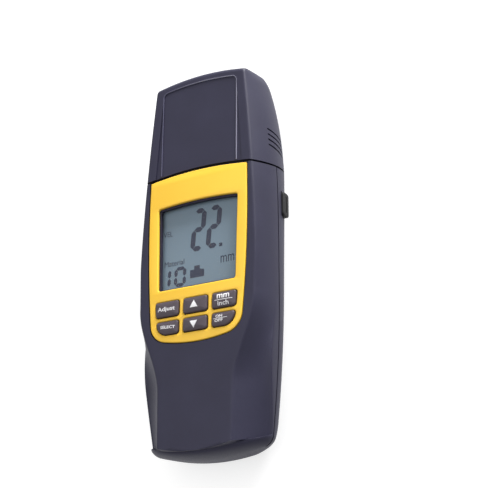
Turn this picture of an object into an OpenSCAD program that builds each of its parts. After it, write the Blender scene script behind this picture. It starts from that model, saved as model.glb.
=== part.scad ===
// Ultrasonic thickness gauge, lying on its back: X across, Y along towards the cap, Z out of the front.

/* [Housing] */
// Length of the front from the bottom lip to the top of the cap
body_l = 165; // [160:1:172]
// Overall width at the widest part of the sides
body_w = 60; // [59:0.5:64]
// Depth from the flat back to the front face
body_d = 30; // [29.5:0.5:33]
// Height of the line where the two shells meet
parting_z = 15.5; // [14.5:0.25:16.5]
// Side and end wall of the shells and the cap
wall = 2.2; // [1.8:0.1:2.4]
// Wall behind the front face
front_wall = 2.4; // [2.2:0.1:2.8]
// Place of the seam between body and cap, on the centre line
seam_y = 37.4; // [36.5:0.1:39]
// Open gap along that seam
seam_gap = 0.9; // [0.6:0.1:1.2]

/* [Grip] */
// Half-width of the front face at the display
front_half_w = 27.1; // [26:0.1:27.6]
// Half-width of the front face at the top of the cap
cap_half_w = 21.6; // [20.5:0.1:23]
// Half-width of the spine between the finger scoops
spine_half_w = 17.2; // [16:0.1:18.5]
// How far the scoops are hollowed
scoop_sag = 1.6; // [0.8:0.1:2.2]
// Step from the spine down to the bottom lip
lip_step = 1.3; // [0.8:0.1:1.8]
// Front edge of the rounded bottom lip on the centre line
lip_y = -80.9; // [-81.4:0.1:-80]

/* [Front] */
// Thickness of the yellow faceplate
plate_t = 1.4; // [1.2:0.1:1.8]
// Depth of the seat it is glued in
plate_sunk = 1.2; // [1:0.1:1.4]
// Half-width of the faceplate
plate_half_w = 23.1; // [22.8:0.1:23.4]
// Lower edge of the faceplate on the centre line
plate_low_y = -37.6; // [-38.2:0.1:-37.4]
// Half-width of the display opening at its top
window_half_w = 18.8; // [18:0.1:19]
// Lower edge of the display opening
window_low_y = -14.2; // [-14.6:0.1:-13.6]
// Upper edge of the display opening on the centre line
window_top_y = 23.5; // [22.5:0.1:24.5]
// Height of the keys above the faceplate
key_proud = 1.1; // [0.9:0.1:1.5]
// Travel of a key
key_travel = 0.8; // [0.5:0.1:0.9]

/* [Battery] */
// Diameter of a cell
cell_d = 10.5; // [10.2:0.1:10.6]
// Length of a cell
cell_l = 44.5; // [43.5:0.1:45]
// Thickness of the sliding door
door_t = 2.2; // [2:0.1:2.4]

/* [Probe] */
// Diameter of the probe
probe_d = 14; // [12:0.5:15]
// Length of the probe
probe_l = 28; // [24:1:30]
// How far the neck reaches into the cap
neck_l = 11; // [9:0.5:13]

/* [Fits] */
// Clearance round pieces that move
run_gap = 0.3; // [0.2:0.05:0.4]
// Clearance round pieces that are set in place
set_gap = 0.15; // [0.1:0.05:0.25]

/* [Hidden] */
$fn = 48;
CELLS = 4;

// Colours
charcoal = "#3f3d4b";
charcoal_light = "#56545f";
yellow = "#fecd3e";
key_grey = "#4c454e";
rubber_black = "#1c1b1f";
board_green = "#2f6b45";
steel = "#c4c6c8";
brass = "#c9a54a";

// Main stations along Y
// The bottom end and the seam lean: y grows by this much for each unit of depth behind the front
tail_lean = 0.09;
seam_lean = 0.2;
nose_lean = 0.15;
tail_y = -body_l / 2 - tail_lean * (body_d - parting_z);
nose_y = body_l / 2;
lip_l = lip_y - tail_y;
step_w = 0.5;
belly_y = -20;
cap_low = seam_y + seam_gap;

// Plan of the sides
tail_loss = 3.4;
nose_loss = 6.4;
nose_power = 4;
tail_corner = 3;
nose_corner = 5;
// Scoops start and end beside and below the faceplate
scoop_top_y = -22;
scoop_end_y = -58;
rim_w = 0.8;
// Height of the rim above the parting line where the scoops start, and at the bottom lip
rim_top_h = 10.5;
rim_h = 1;
edge_drop = 0.9;
// Width of the rounded edges of the back at the tail, and from the seam upwards
back_round = 4.2;
tail_back_round = 10;
// The back curves up towards both ends
end_l = 10;
end_h = 10.5;
nose_end_l = 40;
nose_end_h = 8;
nose_round = 2.2;
lip_end_h = 1.6;
// Curvature of the seam and of both ends, as y = s + bow * x * x
tail_bow = 0.0062;
seam_bow = -0.0034;
nose_bow = -0.005;

function mix(a, b, t) = a + (b - a) * t;
function clamp01(t) = min(1, max(0, t));
function smooth(t) = let (c = clamp01(t)) c * c * (3 - 2 * c);
// Fall of a quarter circle at t = 0 to 1
function quarter(t) = 1 - sqrt(max(0, 1 - pow(clamp01(t), 2)));

// A value given at tail, seam and nose, taken between them
function along(s, tail, seam, nose) = s < seam_y
    ? mix(tail, seam, clamp01((s - tail_y) / (seam_y - tail_y)))
    : mix(seam, nose, clamp01((s - seam_y) / (nose_y - seam_y)));
function bow(s) = along(s, tail_bow, seam_bow, nose_bow);
function bent_y(s, x, z) = s + bow(s) * x * x + along(s, tail_lean, seam_lean, nose_lean) * (body_d - z);

// Half-width of the front face
face_wide_y = -4;
face_loss = 0.5;
spine_loss = 0.4;
function ridge(s) = s > face_wide_y
    ? mix(front_half_w, cap_half_w, pow(clamp01((s - face_wide_y) / (nose_y - face_wide_y)), 1.5))
    : mix(front_half_w - face_loss * clamp01((face_wide_y - s) / (face_wide_y - belly_y)),
          spine_half_w - spine_loss * clamp01((scoop_end_y - s) / (scoop_end_y - lip_y)), scooped(s));
function scooped(s) = smooth((scoop_top_y - s) / (scoop_top_y - scoop_end_y));

// Half-width of the sides, with round corners in plan at both ends
function side_plain(s) = body_w / 2 - (s > belly_y
    ? nose_loss * pow((s - belly_y) / (nose_y - belly_y), nose_power)
    : tail_loss * pow((belly_y - s) / (belly_y - tail_y), 2));
function side(s) =
    s > nose_y - nose_corner
    ? mix(side_plain(s), cap_half_w + 0.6, quarter((s - nose_y + nose_corner) / nose_corner))
    : side_plain(s) - tail_corner * quarter((tail_y + tail_corner - s) / tail_corner);

// Height of the front face and of the back on the centre line
function front_z(s) =
    s <= lip_y ? mix(parting_z + lip_end_h, body_d - lip_step, 1 - quarter((lip_y - s) / lip_l))
    : body_d - nose_round * quarter((s - nose_y + nose_round) / nose_round);
function back_z(s) = max(nose_end_h * quarter((s - nose_y + nose_end_l) / nose_end_l),
                         end_h * quarter((tail_y + end_l - s) / end_l));
function lipped(s) = clamp01((lip_y + step_w - s) / step_w);

// Half-profiles as [x, z] from the centre line to the parting line, inset by t at the sides and d in height
FLAT = 4;
SIDE = 9;
COUNT = FLAT + SIDE + 2;
function side_point(s, u, f, w, z) =
    let (
        hollow = clamp01(u / 0.8),
        lip_u = clamp01((u - 0.8) / 0.2),
        rim_x = w - rim_w,
        rim_z = parting_z + mix(rim_top_h, rim_h, clamp01((scoop_top_y - s) / (scoop_top_y - lip_y))),
        round_x = f + (w - f) * (1 - pow(1 - u, 2)),
        round_z = mix(z, parting_z, u),
        hollow_x = mix(mix(f, rim_x, hollow), w, 1 - quarter(1 - lip_u)),
        sag = scoop_sag * 4 * hollow * (1 - hollow),
        hollow_z = mix(mix(z, rim_z, hollow) - sag, parting_z, quarter(lip_u))
    )
    [mix(round_x, hollow_x, scooped(s)), mix(round_z, hollow_z, scooped(s))];
function main_half(s, t, d) =
    let (f = ridge(s) - t, w = side(s) - t, z = front_z(s) - d)
    concat([for (i = [0:FLAT]) [(f - edge_drop) * i / FLAT, z]],
           [for (i = [0:SIDE]) side_point(s, i / SIDE, f, w, z - edge_drop / 2)]);
function lip_half(s, t, d) =
    let (w = side(s) - t, z = front_z(s) - d)
    [for (i = [0:COUNT - 1]) let (a = 90 * i / (COUNT - 1))
        [w * sin(a), parting_z + (z - parting_z) * cos(a)]];
function front_half(s, t, d) =
    let (m = main_half(s, t, d), l = lip_half(s, t, d))
    [for (i = [0:COUNT - 1]) mix(m[i], l[i], lipped(s))];
function back_half(s, t, d) =
    let (w = side(s) - t, r = along(s, tail_back_round, back_round, back_round),
         flat = w - r, z = back_z(s) + d)
    concat([for (i = [0:FLAT]) [flat * i / FLAT, z]],
           [for (i = [1:SIDE + 1]) let (v = i / (SIDE + 1))
               [flat + r * (1 - pow(1 - v, 2)), mix(z, parting_z, v)]]);
function plane_half(h) = [for (p = h) [p.x, parting_z]];

// A half-profile mirrored and set at its bowed station
function ring(s, h) =
    let (n = len(h))
    [for (i = [1 - n:n - 1]) let (p = h[abs(i)], x = sign(i) * p.x) [x, bent_y(s, x, p.y), p.y]];
// Upper and lower line of one station without its repeated end points
function station(up, low) = concat(up, [for (i = [1:len(low) - 2]) low[i]]);

// Faces of lofts: n points across, s stations, b the first index; corners run counter-clockwise from outside
function pair(a, b, c, d, flip) =
    [for (t = flip ? [[a, b, c], [a, c, d]] : [[a, c, b], [a, d, c]])
        if (t[0] != t[1] && t[1] != t[2] && t[2] != t[0]) t];
function at(b, n, j, low, i) = b + j * (2 * n - 2) + (low && i > 0 && i < n - 1 ? n - 1 + i : i);
function upper_faces(b, n, s, flip) =
    [for (j = [0:s - 2], i = [0:n - 2])
        each pair(at(b, n, j, false, i), at(b, n, j, false, i + 1),
                  at(b, n, j + 1, false, i + 1), at(b, n, j + 1, false, i), flip)];
function lower_faces(b, n, s, flip) =
    [for (j = [0:s - 2], i = [0:n - 2])
        each pair(at(b, n, j, true, i), at(b, n, j + 1, true, i),
                  at(b, n, j + 1, true, i + 1), at(b, n, j, true, i + 1), flip)];
function end_faces(b, n, j, flip) =
    [for (i = [0:n - 2])
        each pair(at(b, n, j, true, i), at(b, n, j, true, i + 1),
                  at(b, n, j, false, i + 1), at(b, n, j, false, i), flip)];
function edge_loop(b, n, s, low) =
    concat([for (i = [0:n - 1]) at(b, n, 0, low, i)], [for (j = [1:s - 2]) at(b, n, j, low, n - 1)],
           [for (i = [n - 1:-1:0]) at(b, n, s - 1, low, i)], [for (j = [s - 2:-1:1]) at(b, n, j, low, 0)]);
function rim_faces(o, i, flip) =
    [for (k = [0:len(o) - 1]) let (m = (k + 1) % len(o)) each pair(o[k], o[m], i[m], i[k], flip)];

// Stations of the body, close together round the bottom lip
BODY_STEPS = 17;
body_stations = concat([for (a = [90:-15:0]) lip_y - lip_l * sin(a)],
                       [for (i = [0:BODY_STEPS]) mix(lip_y + step_w, seam_y, i / BODY_STEPS)]);
// Fewer stations carry the plainer back
BACK_STEPS = 8;
back_stations = concat([for (a = [90:-18:0]) tail_y + end_l * (1 - sin(a))],
                       [for (i = [1:BACK_STEPS]) mix(tail_y + end_l, seam_y, i / BACK_STEPS)]);
tail_wall = 3;
function inner_station(s) = mix(tail_y + tail_wall, seam_y - wall, (s - tail_y) / (seam_y - tail_y));
// Stations of the cap, close together round its top
CAP_STEPS = 6;
cap_stations = concat([for (i = [0:CAP_STEPS]) mix(cap_low, nose_y - nose_corner, i / CAP_STEPS)],
                      [for (a = [18:18:72]) nose_y - nose_corner + nose_corner * sin(a)],
                      [nose_y - 0.35, nose_y]);
cap_roof = 2.6;
function inner_cap(s) = mix(cap_low, nose_y - cap_roof, (s - cap_low) / (nose_y - cap_low));

// Closed solid between two surfaces
module loft(rings) {
    n = 2 * COUNT - 1;
    s = len(rings);
    polyhedron([for (r = rings) each r],
        concat(upper_faces(0, n, s, false), lower_faces(0, n, s, false), end_faces(0, n, 0, false),
               end_faces(0, n, s - 1, true)));
}

// Half housing, open on the parting plane
module half_shell(outer, inner, front) {
    n = 2 * COUNT - 1;
    s = len(outer);
    b = s * (2 * n - 2);
    polyhedron([for (r = concat(outer, inner)) each r],
        concat(front ? upper_faces(0, n, s, false) : lower_faces(0, n, s, false),
               front ? upper_faces(b, n, s, true) : lower_faces(b, n, s, true),
               end_faces(0, n, 0, false), end_faces(0, n, s - 1, true),
               end_faces(b, n, 0, true), end_faces(b, n, s - 1, false),
               rim_faces(edge_loop(0, n, s, front), edge_loop(b, n, s, front), front)));
}
function front_station(s, t, d) =
    let (h = front_half(s, t, d)) station(ring(s, h), ring(s, plane_half(h)));
function back_station(s, t, d) =
    let (h = back_half(s, t, d)) station(ring(s, plane_half(h)), ring(s, h));
function whole_station(s, t, d) = station(ring(s, front_half(s, t, d)), ring(s, back_half(s, t, t)));

// Levels, from the front inwards
plate_seat_z = body_d - plate_sunk;
plate_top_z = plate_seat_z + plate_t;
under_z = body_d - front_wall;
lens_t = 1.2;
lcd_t = 2.8;
strip_h = body_d / 10;
board_t = 1.6;
lens_low_z = under_z - lens_t;
lcd_low_z = lens_low_z - lcd_t;
board_top_z = lcd_low_z - strip_h;
board_low_z = board_top_z - board_t;
mat_t = 1.6;
mat_top_z = board_top_z + mat_t;
key_top_z = plate_top_z + key_proud;
flange_t = 1;
flange_w = 0.7;
stem_r = 2;
flange_top_z = under_z - set_gap;
stem_low_z = mat_top_z + key_travel + 0.2;

// Faceplate outline: big arcs for top, sides and bottom, with round lower corners
plate_gap = 0.45;
plate_top_y = seam_y - 0.5;
seam_r = -1 / (2 * seam_bow);
plate_side_r = 526;
plate_wide_y = 19;
plate_low_r = 70;
plate_corner = 8;
// The seat is open over this length below the seam
plate_mouth = 6;
module plate_outline(grow) {
    offset(delta = grow)
        union() {
            offset(r = plate_corner) offset(delta = -plate_corner) plate_arcs();
            intersection() {
                plate_arcs();
                translate([-body_w, 0]) square([2 * body_w, body_l]);
            }
        }
}
module plate_arcs() {
    intersection() {
        translate([0, plate_top_y - seam_r]) circle(seam_r, $fn = 240);
        for_sides();
        translate([0, plate_low_y + plate_low_r]) circle(plate_low_r, $fn = 180);
    }
}
module for_sides() {
    intersection() {
        translate([plate_half_w - plate_side_r, plate_wide_y]) circle(plate_side_r, $fn = 360);
        translate([plate_side_r - plate_half_w, plate_wide_y]) circle(plate_side_r, $fn = 360);
    }
}

// Display opening: straight sides that close in downwards, arched top
window_taper = 0.9;
window_r = 1.1;
window_arch = 1.1;
window_ledge = 0.7;
window_arch_r = (pow(window_half_w, 2) + pow(window_arch, 2)) / (2 * window_arch);
module window_outline(grow) {
    offset(r = window_r + grow) offset(delta = -window_r)
        intersection() {
            polygon([[-window_half_w, window_top_y], [window_half_w, window_top_y],
                     [window_half_w - window_taper, window_low_y],
                     [window_taper - window_half_w, window_low_y]]);
            translate([0, window_top_y - window_arch_r]) circle(window_arch_r, $fn = 240);
        }
}

// Keys: two rows of three
key_mid_w = 11;
key_gap = 2.2;
key_outer_w = 10.9;
key_rows = [[-19.3, -25.7], [-27.7, -33.2]];
key_round = 1;
key_inset = 3;
key_col_x = [-(key_mid_w / 2 + key_gap + key_outer_w), -key_mid_w / 2, key_mid_w / 2 + key_gap];
key_col_w = [key_outer_w, key_mid_w, key_outer_w];
module key_outline(col, row, grow) {
    offset(r = key_round + grow, $fn = 32) offset(delta = -key_round)
        intersection() {
            translate([key_col_x[col], key_rows[row][1]])
                square([key_col_w[col], key_rows[row][0] - key_rows[row][1]]);
            plate_outline(-key_inset);
        }
}
module key_holes(grow) {
    for (col = [0:2], row = [0:1]) key_outline(col, row, grow);
}

// Battery bay
cell_pitch = cell_d + 0.2;
bay_half_w = CELLS * cell_pitch / 2 + 0.3;
contact_room = 2.5;
bay_low_y = tail_y + 10.42;
bay_top_y = bay_low_y + cell_l + 2 * contact_room;
bay_wall = 1.3;
cell_z = door_t + 0.4 + cell_d / 2;
bay_roof_z = cell_z + cell_d / 2 + 0.4;
door_half_w = bay_half_w - 3.4;
door_lip = 1;
door_lip_z = 1.2;
door_grip_w = 16;
door_grip_step = 2.4;
door_grip_depth = 0.6;
door_top_y = bay_top_y + 1;

// Fasteners
case_screw_x = 18.5;
case_screw_ys = [seam_y - 6.4, bay_top_y + 4];
case_shank_r = 1.2;
case_head_r = 2.1;
case_head_h = 1.6;
case_seat_z = 9;
case_boss_r = 2.8;
case_top_z = board_low_z - 1.5;
sink_boss_r = 3.4;
sink_r = case_head_r + set_gap + 0.1;
board_screw_r = 1;
board_head_r = 1.9;
board_head_h = 1.3;
board_boss_r = 2.3;
board_bite = 4.4;
thread_gap = 0.05;
cross_w = 0.5;
cross_l = 2.4;
cross_depth = 0.8;
board_screws_at = [[22.5, 12], [12, -40]];
module mirror_x() {
    children();
    mirror([1, 0, 0]) children();
}
module at_case_screws() {
    mirror_x()
        for (y = case_screw_ys) translate([case_screw_x, y]) children();
}
module at_board_screws() {
    mirror_x()
        for (p = board_screws_at) translate(p) children();
}

// Neck opening in the seam wall of both shells
neck_stem_x = 12.5;
neck_stem_low = 6;
neck_stem_top = 22.5;
neck_in_y = seam_y - wall - 4;
// The leaning seam wall is behind this line everywhere
seam_back_y = seam_y + seam_lean * body_d;
module neck_stem(grow, from_y, to_y) {
    translate([-neck_stem_x - grow, from_y, neck_stem_low - grow])
        cube([2 * (neck_stem_x + grow), to_y - from_y, neck_stem_top - neck_stem_low + 2 * grow]);
}

module front_shell() {
    outer = [for (s = body_stations) front_station(s, 0, 0)];
    inner = [for (s = body_stations) front_station(inner_station(s), wall, front_wall)];
    color(charcoal)
        difference() {
            union() {
                half_shell(outer, inner, true);
                mirror_x() translate([case_screw_x, case_screw_ys[0], parting_z])
                    cylinder(r = case_boss_r, h = under_z - parting_z + 0.6);
                mirror_x() side_boss();
                at_board_screws() translate([0, 0, board_top_z])
                    cylinder(r = board_boss_r, h = under_z - board_top_z + 0.6);
            }
            translate([0, 0, plate_seat_z]) linear_extrude(body_d) plate_outline(plate_gap);
            translate([-plate_half_w - plate_gap, plate_top_y - plate_mouth, plate_seat_z])
                cube([2 * (plate_half_w + plate_gap), 2 * plate_mouth, body_d]);
            translate([0, 0, parting_z]) linear_extrude(body_d) window_outline(-window_ledge);
            translate([0, 0, parting_z + 6]) linear_extrude(body_d) key_holes(run_gap);
            at_case_screws() translate([0, 0, case_seat_z])
                cylinder(r = case_shank_r + thread_gap, h = board_low_z - case_seat_z);
            at_board_screws() translate([0, 0, board_low_z])
                cylinder(r = board_screw_r + thread_gap, h = board_t + board_bite + 0.6);
            neck_stem(set_gap, neck_in_y, seam_back_y + 1);
        }
}
// Short screw boss below the board, carried by a web from the side wall
side_boss_h = board_low_z - parting_z - 0.8;
module side_boss() {
    translate([case_screw_x, case_screw_ys[1], parting_z]) {
        cylinder(r = case_boss_r, h = side_boss_h);
        translate([0, -1.2, 0]) cube([side(case_screw_ys[1]) - wall / 2 - case_screw_x, 2.4, side_boss_h]);
    }
}

// Side port
port_y = 22.6;
port_z = 9.2;
port_w = 10.6;
port_h = 5;
port_proud = 0.7;
port_sunk = 2.5;
jack_r = 2.6;
jack_bore_r = 1.8;
plug_w = 7;
plug_h = 3.6;
port_wall_x = side(port_y);
module port_box(x0, x1, w, h) {
    translate([x0, port_y - w / 2, port_z - h / 2]) cube([x1 - x0, w, h]);
}

module rear_shell() {
    outer = [for (s = back_stations) back_station(s, 0, 0)];
    inner = [for (s = back_stations) back_station(inner_station(s), wall, wall)];
    color(charcoal_light)
        difference() {
            union() {
                half_shell(outer, inner, false);
                at_case_screws() translate([0, 0, wall / 2])
                    cylinder(r = sink_boss_r, h = parting_z - wall / 2);
                intersection() {
                    bay_skin();
                    bay_box(bay_wall, 0, min(parting_z, bay_roof_z + bay_wall));
                }
            }
            intersection() {
                bay_skin();
                bay_box(0, door_t, bay_roof_z);
            }
            door_slot(run_gap);
            at_case_screws() {
                translate([0, 0, -1]) cylinder(r = sink_r, h = case_seat_z + 1);
                cylinder(r = case_shank_r + set_gap, h = parting_z + 1);
            }
            neck_stem(set_gap, neck_in_y, seam_back_y + 1);
            port_box(port_wall_x - port_sunk, body_w, port_w + 2 * run_gap, port_h + 2 * run_gap);
            port_box(jack_face_x, body_w, plug_w + 2 * run_gap, plug_h + 2 * run_gap);
        }
}
// Inside of the back's outer half-wall, which the bay never breaks
module bay_skin() {
    loft([for (s = back_stations) back_station(s, wall / 2, wall / 2)]);
}
module bay_box(grow, low_z, top_z) {
    translate([-bay_half_w - grow, bay_low_y - grow, low_z])
        cube([2 * (bay_half_w + grow), bay_top_y - bay_low_y + 2 * grow, top_z - low_z]);
}
// Slot of the door: a wide flange above a narrower face, open at the bottom end
module door_slot(grow) {
    translate([-door_half_w - grow, tail_y - 1, -1])
        cube([2 * (door_half_w + grow), door_top_y + grow - tail_y + 1, door_t + grow + 1]);
    translate([-door_half_w - door_lip - grow, tail_y - 1, door_lip_z - grow])
        cube([2 * (door_half_w + door_lip + grow), door_top_y + grow - tail_y + 1,
              door_t - door_lip_z + 2 * grow]);
}
module battery_door() {
    outer = [for (s = back_stations) back_station(s, 0, 0)];
    color(charcoal_light)
        difference() {
            intersection() {
                loft(outer);
                door_slot(0);
            }
            for (i = [0:4])
                translate([-door_grip_w / 2, bay_low_y + 6 + door_grip_step * i, -door_grip_depth])
                    cube([door_grip_w, door_grip_step / 2, 2 * door_grip_depth]);
        }
}

// Grip grooves of the cap, cut to one depth below a circle through the side
groove_ys = [46.2, 48.7, 51.2, 53.7];
groove_w = 0.8;
groove_depth = 0.6;
groove_low_z = 6;
groove_top_z = 20.5;
groove_r = 22;
module grip_groove(y) {
    translate([side(y) - groove_r, y - groove_w / 2, 0])
        difference() {
            translate([0, 0, groove_low_z]) cube([2 * groove_r, groove_w, groove_top_z - groove_low_z]);
            translate([0, -1, parting_z]) rotate([-90, 0, 0])
                cylinder(r = groove_r - groove_depth, h = groove_w + 2, $fn = 96);
        }
}
// Inset front panel of the cap
panel_depth = 0.5;
panel_border = 3.7;
panel_corner = 2.5;
module panel_outline() {
    offset(r = panel_corner) offset(delta = -panel_corner)
        polygon([[-ridge(cap_low) + panel_border, cap_low - 12],
                 [ridge(cap_low) - panel_border, cap_low - 12],
                 for (i = [-6:6]) let (x = -(cap_half_w - panel_border) * i / 6)
                     [x, bent_y(nose_y, x, body_d) - panel_border]]);
}
module probe_cap() {
    n = 2 * COUNT - 1;
    outer = [for (s = cap_stations) whole_station(s, 0, 0)];
    inner = [for (s = cap_stations) whole_station(inner_cap(s), wall, wall)];
    m = len(cap_stations);
    b = m * (2 * n - 2);
    rim = [for (low = [false, true]) [for (first = [0, b]) [for (i = [0:n - 1]) at(first, n, 0, low, i)]]];
    color(charcoal)
        difference() {
            polyhedron([for (r = concat(outer, inner)) each r],
                concat(upper_faces(0, n, m, false), lower_faces(0, n, m, false), end_faces(0, n, m - 1, true),
                       upper_faces(b, n, m, true), lower_faces(b, n, m, true), end_faces(b, n, m - 1, false),
                       [for (i = [0:n - 2])
                           each pair(rim[0][1][i], rim[0][1][i + 1], rim[0][0][i + 1], rim[0][0][i], false)],
                       [for (i = [0:n - 2])
                          each pair(rim[1][0][i], rim[1][0][i + 1], rim[1][1][i + 1], rim[1][1][i], false)]));
            translate([0, 0, body_d - panel_depth]) linear_extrude(body_d) panel_outline();
            mirror_x() for (y = groove_ys) grip_groove(y);
        }
}

// Neck under the cap
neck_start = seam_y + set_gap;
neck_end = seam_y + neck_l;
neck_inset = wall + run_gap;
neck_stations = [for (i = [0:2]) mix(neck_start, neck_end, i / 2)];
probe_x = -4.4;
probe_z = (neck_stem_low + neck_stem_top) / 2;
well_r = probe_d / 2 + set_gap;
well_depth = 12.5;
socket_xs = [8.5, 18];
socket_r = 3.2;
socket_hole_r = socket_r + set_gap;
socket_depth = 5;
neck_face_y = neck_end - 1.6;
flange_x = 14.6;
module along_y(x, y, z, r, h) {
    translate([x, y, z]) rotate([-90, 0, 0]) cylinder(r = r, h = h);
}
module probe_holder() {
    color(rubber_black)
        difference() {
            union() {
                intersection() {
                    loft([for (s = neck_stations) whole_station(s, neck_inset, neck_inset)]);
                    translate([-body_w, 0, 0]) cube([2 * body_w, neck_face_y, body_d]);
                }
                neck_stem(0, neck_in_y, seam_back_y);
                translate([-flange_x, neck_in_y - 1.5, neck_stem_low - 1.5])
                    cube([2 * flange_x,
                          seam_y - wall - 1 - neck_in_y + 1.5 + seam_bow * pow(flange_x, 2) + 0.8,
                          neck_stem_top - neck_stem_low + 3]);
            }
            along_y(probe_x, neck_face_y - well_depth, probe_z, well_r, well_depth + 10);
            for (x = socket_xs)
                along_y(x, neck_face_y - socket_depth, probe_z, socket_hole_r, socket_depth + 10);
        }
}
socket_out = 4.5;
socket_collar = 1.2;
module probe_sockets() {
    color(brass)
        for (x = socket_xs)
            difference() {
                union() {
                    along_y(x, neck_face_y - socket_depth, probe_z, socket_r, socket_depth + socket_out);
                    along_y(x, neck_face_y, probe_z, socket_r + 1.1, socket_collar);
                }
                along_y(x, neck_face_y + socket_out - 5, probe_z, 1.9, 6);
            }
}
face_l = 2.4;
probe_low_y = neck_face_y - well_depth;
module probe_sleeve() {
    color(steel)
        translate([probe_x, probe_low_y, probe_z]) rotate([-90, 0, 0])
            rotate_extrude()
                polygon([[0, 0], [probe_d / 2 - 0.6, 0], [probe_d / 2, 0.6], [probe_d / 2, probe_l - 8],
                         [probe_d / 2 - 0.8, probe_l - 7.2], [probe_d / 2 - 0.8, probe_l - face_l],
                         [0, probe_l - face_l]]);
}
module probe_face() {
    color(rubber_black)
        translate([probe_x, probe_low_y + probe_l - face_l, probe_z]) rotate([-90, 0, 0])
            rotate_extrude()
                polygon([[0, 0], [probe_d / 2 - 0.8, 0], [probe_d / 2 - 0.8, face_l - 0.5],
                         [probe_d / 2 - 1.3, face_l], [0, face_l]]);
}

module faceplate() {
    color(yellow)
        translate([0, 0, plate_seat_z])
            linear_extrude(plate_t)
                difference() {
                    plate_outline(0);
                    window_outline(0);
                    key_holes(run_gap);
                }
}
lens_margin = 1.1;
module display_window() {
    color("#c9d3d8", 0.4)
        translate([0, 0, lens_low_z]) linear_extrude(lens_t) window_outline(lens_margin);
}
module lcd_panel() {
    color("#8a9ba6")
        translate([-window_half_w - lens_margin, window_low_y - lens_margin, lcd_low_z])
            cube([2 * (window_half_w + lens_margin), window_top_y - window_low_y + 2 * lens_margin, lcd_t]);
}
strip_w = 2.4;
module lcd_connectors() {
    color("#d8c9d2")
        for (y = [window_low_y + 0.6, window_top_y - 0.6 - strip_w])
            translate([-window_half_w + 1, y, board_top_z]) cube([2 * window_half_w - 2, strip_w, strip_h]);
}
board_half_w = 24.5;
board_top_y = 27.8;
board_step_y = -24;
board_low_half_w = 16.5;
board_low_y = -44;
module main_board() {
    color(board_green)
        translate([0, 0, board_low_z])
            difference() {
                linear_extrude(board_t)
                    union() {
                        translate([-board_half_w, board_step_y])
                            square([2 * board_half_w, board_top_y - board_step_y]);
                        translate([-board_low_half_w, board_low_y])
                            square([2 * board_low_half_w, board_step_y - board_low_y + 1]);
                    }
                at_board_screws() translate([0, 0, -1])
                    cylinder(r = board_screw_r + set_gap, h = board_t + 2);
            }
}
mat_half_w = 20.2;
module keypad_mat() {
    color("#8f8b88")
        difference() {
            union() {
                translate([-mat_half_w, key_rows[1][1] - 1.6, board_top_z])
                    cube([2 * mat_half_w, key_rows[0][0] - key_rows[1][1] + 3.2, mat_t - 0.6]);
                for (col = [0:2], row = [0:1])
                    translate([key_col_x[col] + key_col_w[col] / 2, (key_rows[row][0] + key_rows[row][1]) / 2,
                               board_top_z])
                        cylinder(r = 2.4, h = mat_t);
            }
            translate([0, 0, board_top_z - 1]) linear_extrude(mat_t + 2) key_dome_vents();
        }
}
module key_dome_vents() {
    for (x = [-1, 1])
        translate([x * (key_mid_w + key_gap) / 2, (key_rows[0][1] + key_rows[1][0]) / 2]) circle(0.6);
}
// One key: flange behind the front wall, body through wall and plate, and a bevelled top
key_bevel = 0.7;
module key(col, row) {
    color(key_grey) {
        translate([0, 0, flange_top_z - flange_t]) linear_extrude(flange_t) key_outline(col, row, flange_w);
        hull() {
            translate([0, 0, flange_top_z - flange_t / 2])
                linear_extrude(key_top_z - key_bevel - flange_top_z + flange_t / 2) key_outline(col, row, 0);
            translate([0, 0, key_top_z - 0.1]) linear_extrude(0.1) key_outline(col, row, -key_bevel);
        }
        translate([key_col_x[col] + key_col_w[col] / 2,
                   (key_rows[row][0] + key_rows[row][1]) / 2, stem_low_z])
            cylinder(r = stem_r, h = flange_top_z - flange_t / 2 - stem_low_z);
    }
}

// Batteries and contacts
cap_bead_r = 2.4;
cap_bead_h = 1;
function cell_x(i) = (i - (CELLS - 1) / 2) * cell_pitch;
function cell_turned(i) = i % 2 == 1;
module cell(i) {
    color("#b9bcc0")
        translate([cell_x(i), bay_low_y + contact_room + (cell_turned(i) ? cell_l : 0), cell_z])
            rotate([cell_turned(i) ? 90 : -90, 0, 0]) {
                cylinder(d = cell_d, h = cell_l - cap_bead_h);
                cylinder(r = cap_bead_r, h = cell_l);
            }
}
contact_t = 0.4;
contact_w = 6.6;
leaf_w = 4;
dimple_r = 2;
leaf_reach = contact_room - 0.1;
module contact(i, y) {
    translate([cell_x(i) - contact_w / 2, y, cell_z - contact_w / 2])
        cube([contact_w, contact_t, contact_w]);
}
module leaf(i, y, out) {
    half = contact_w / 2;
    r = (pow(half, 2) + pow(leaf_reach - contact_t, 2)) / (2 * (leaf_reach - contact_t));
    translate([cell_x(i) - leaf_w / 2, y, cell_z]) rotate([90, 0, 90])
        linear_extrude(leaf_w)
            intersection() {
                translate([out * (leaf_reach - r), 0]) difference() {
                    circle(r);
                    circle(r - contact_t);
                }
                translate([out > 0 ? 0 : -leaf_reach - 1, -half]) square([leaf_reach + 1, contact_w]);
            }
}
module contact_springs() {
    color(steel)
        for (i = [0:CELLS - 1])
            if (cell_turned(i)) {
                contact(i, bay_top_y - contact_t);
                leaf(i, bay_top_y, -1);
            } else {
                contact(i, bay_low_y);
                leaf(i, bay_low_y, 1);
            }
}
module contact_plates() {
    color(steel)
        for (i = [0:CELLS - 1])
            translate([cell_x(i), cell_turned(i) ? bay_low_y : bay_top_y, cell_z])
                rotate([cell_turned(i) ? -90 : 90, 0, 0]) {
                    translate([-contact_w / 2, -contact_w / 2, 0]) cube([contact_w, contact_w, contact_t]);
                    cylinder(r = dimple_r, h = leaf_reach);
                }
}

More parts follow.
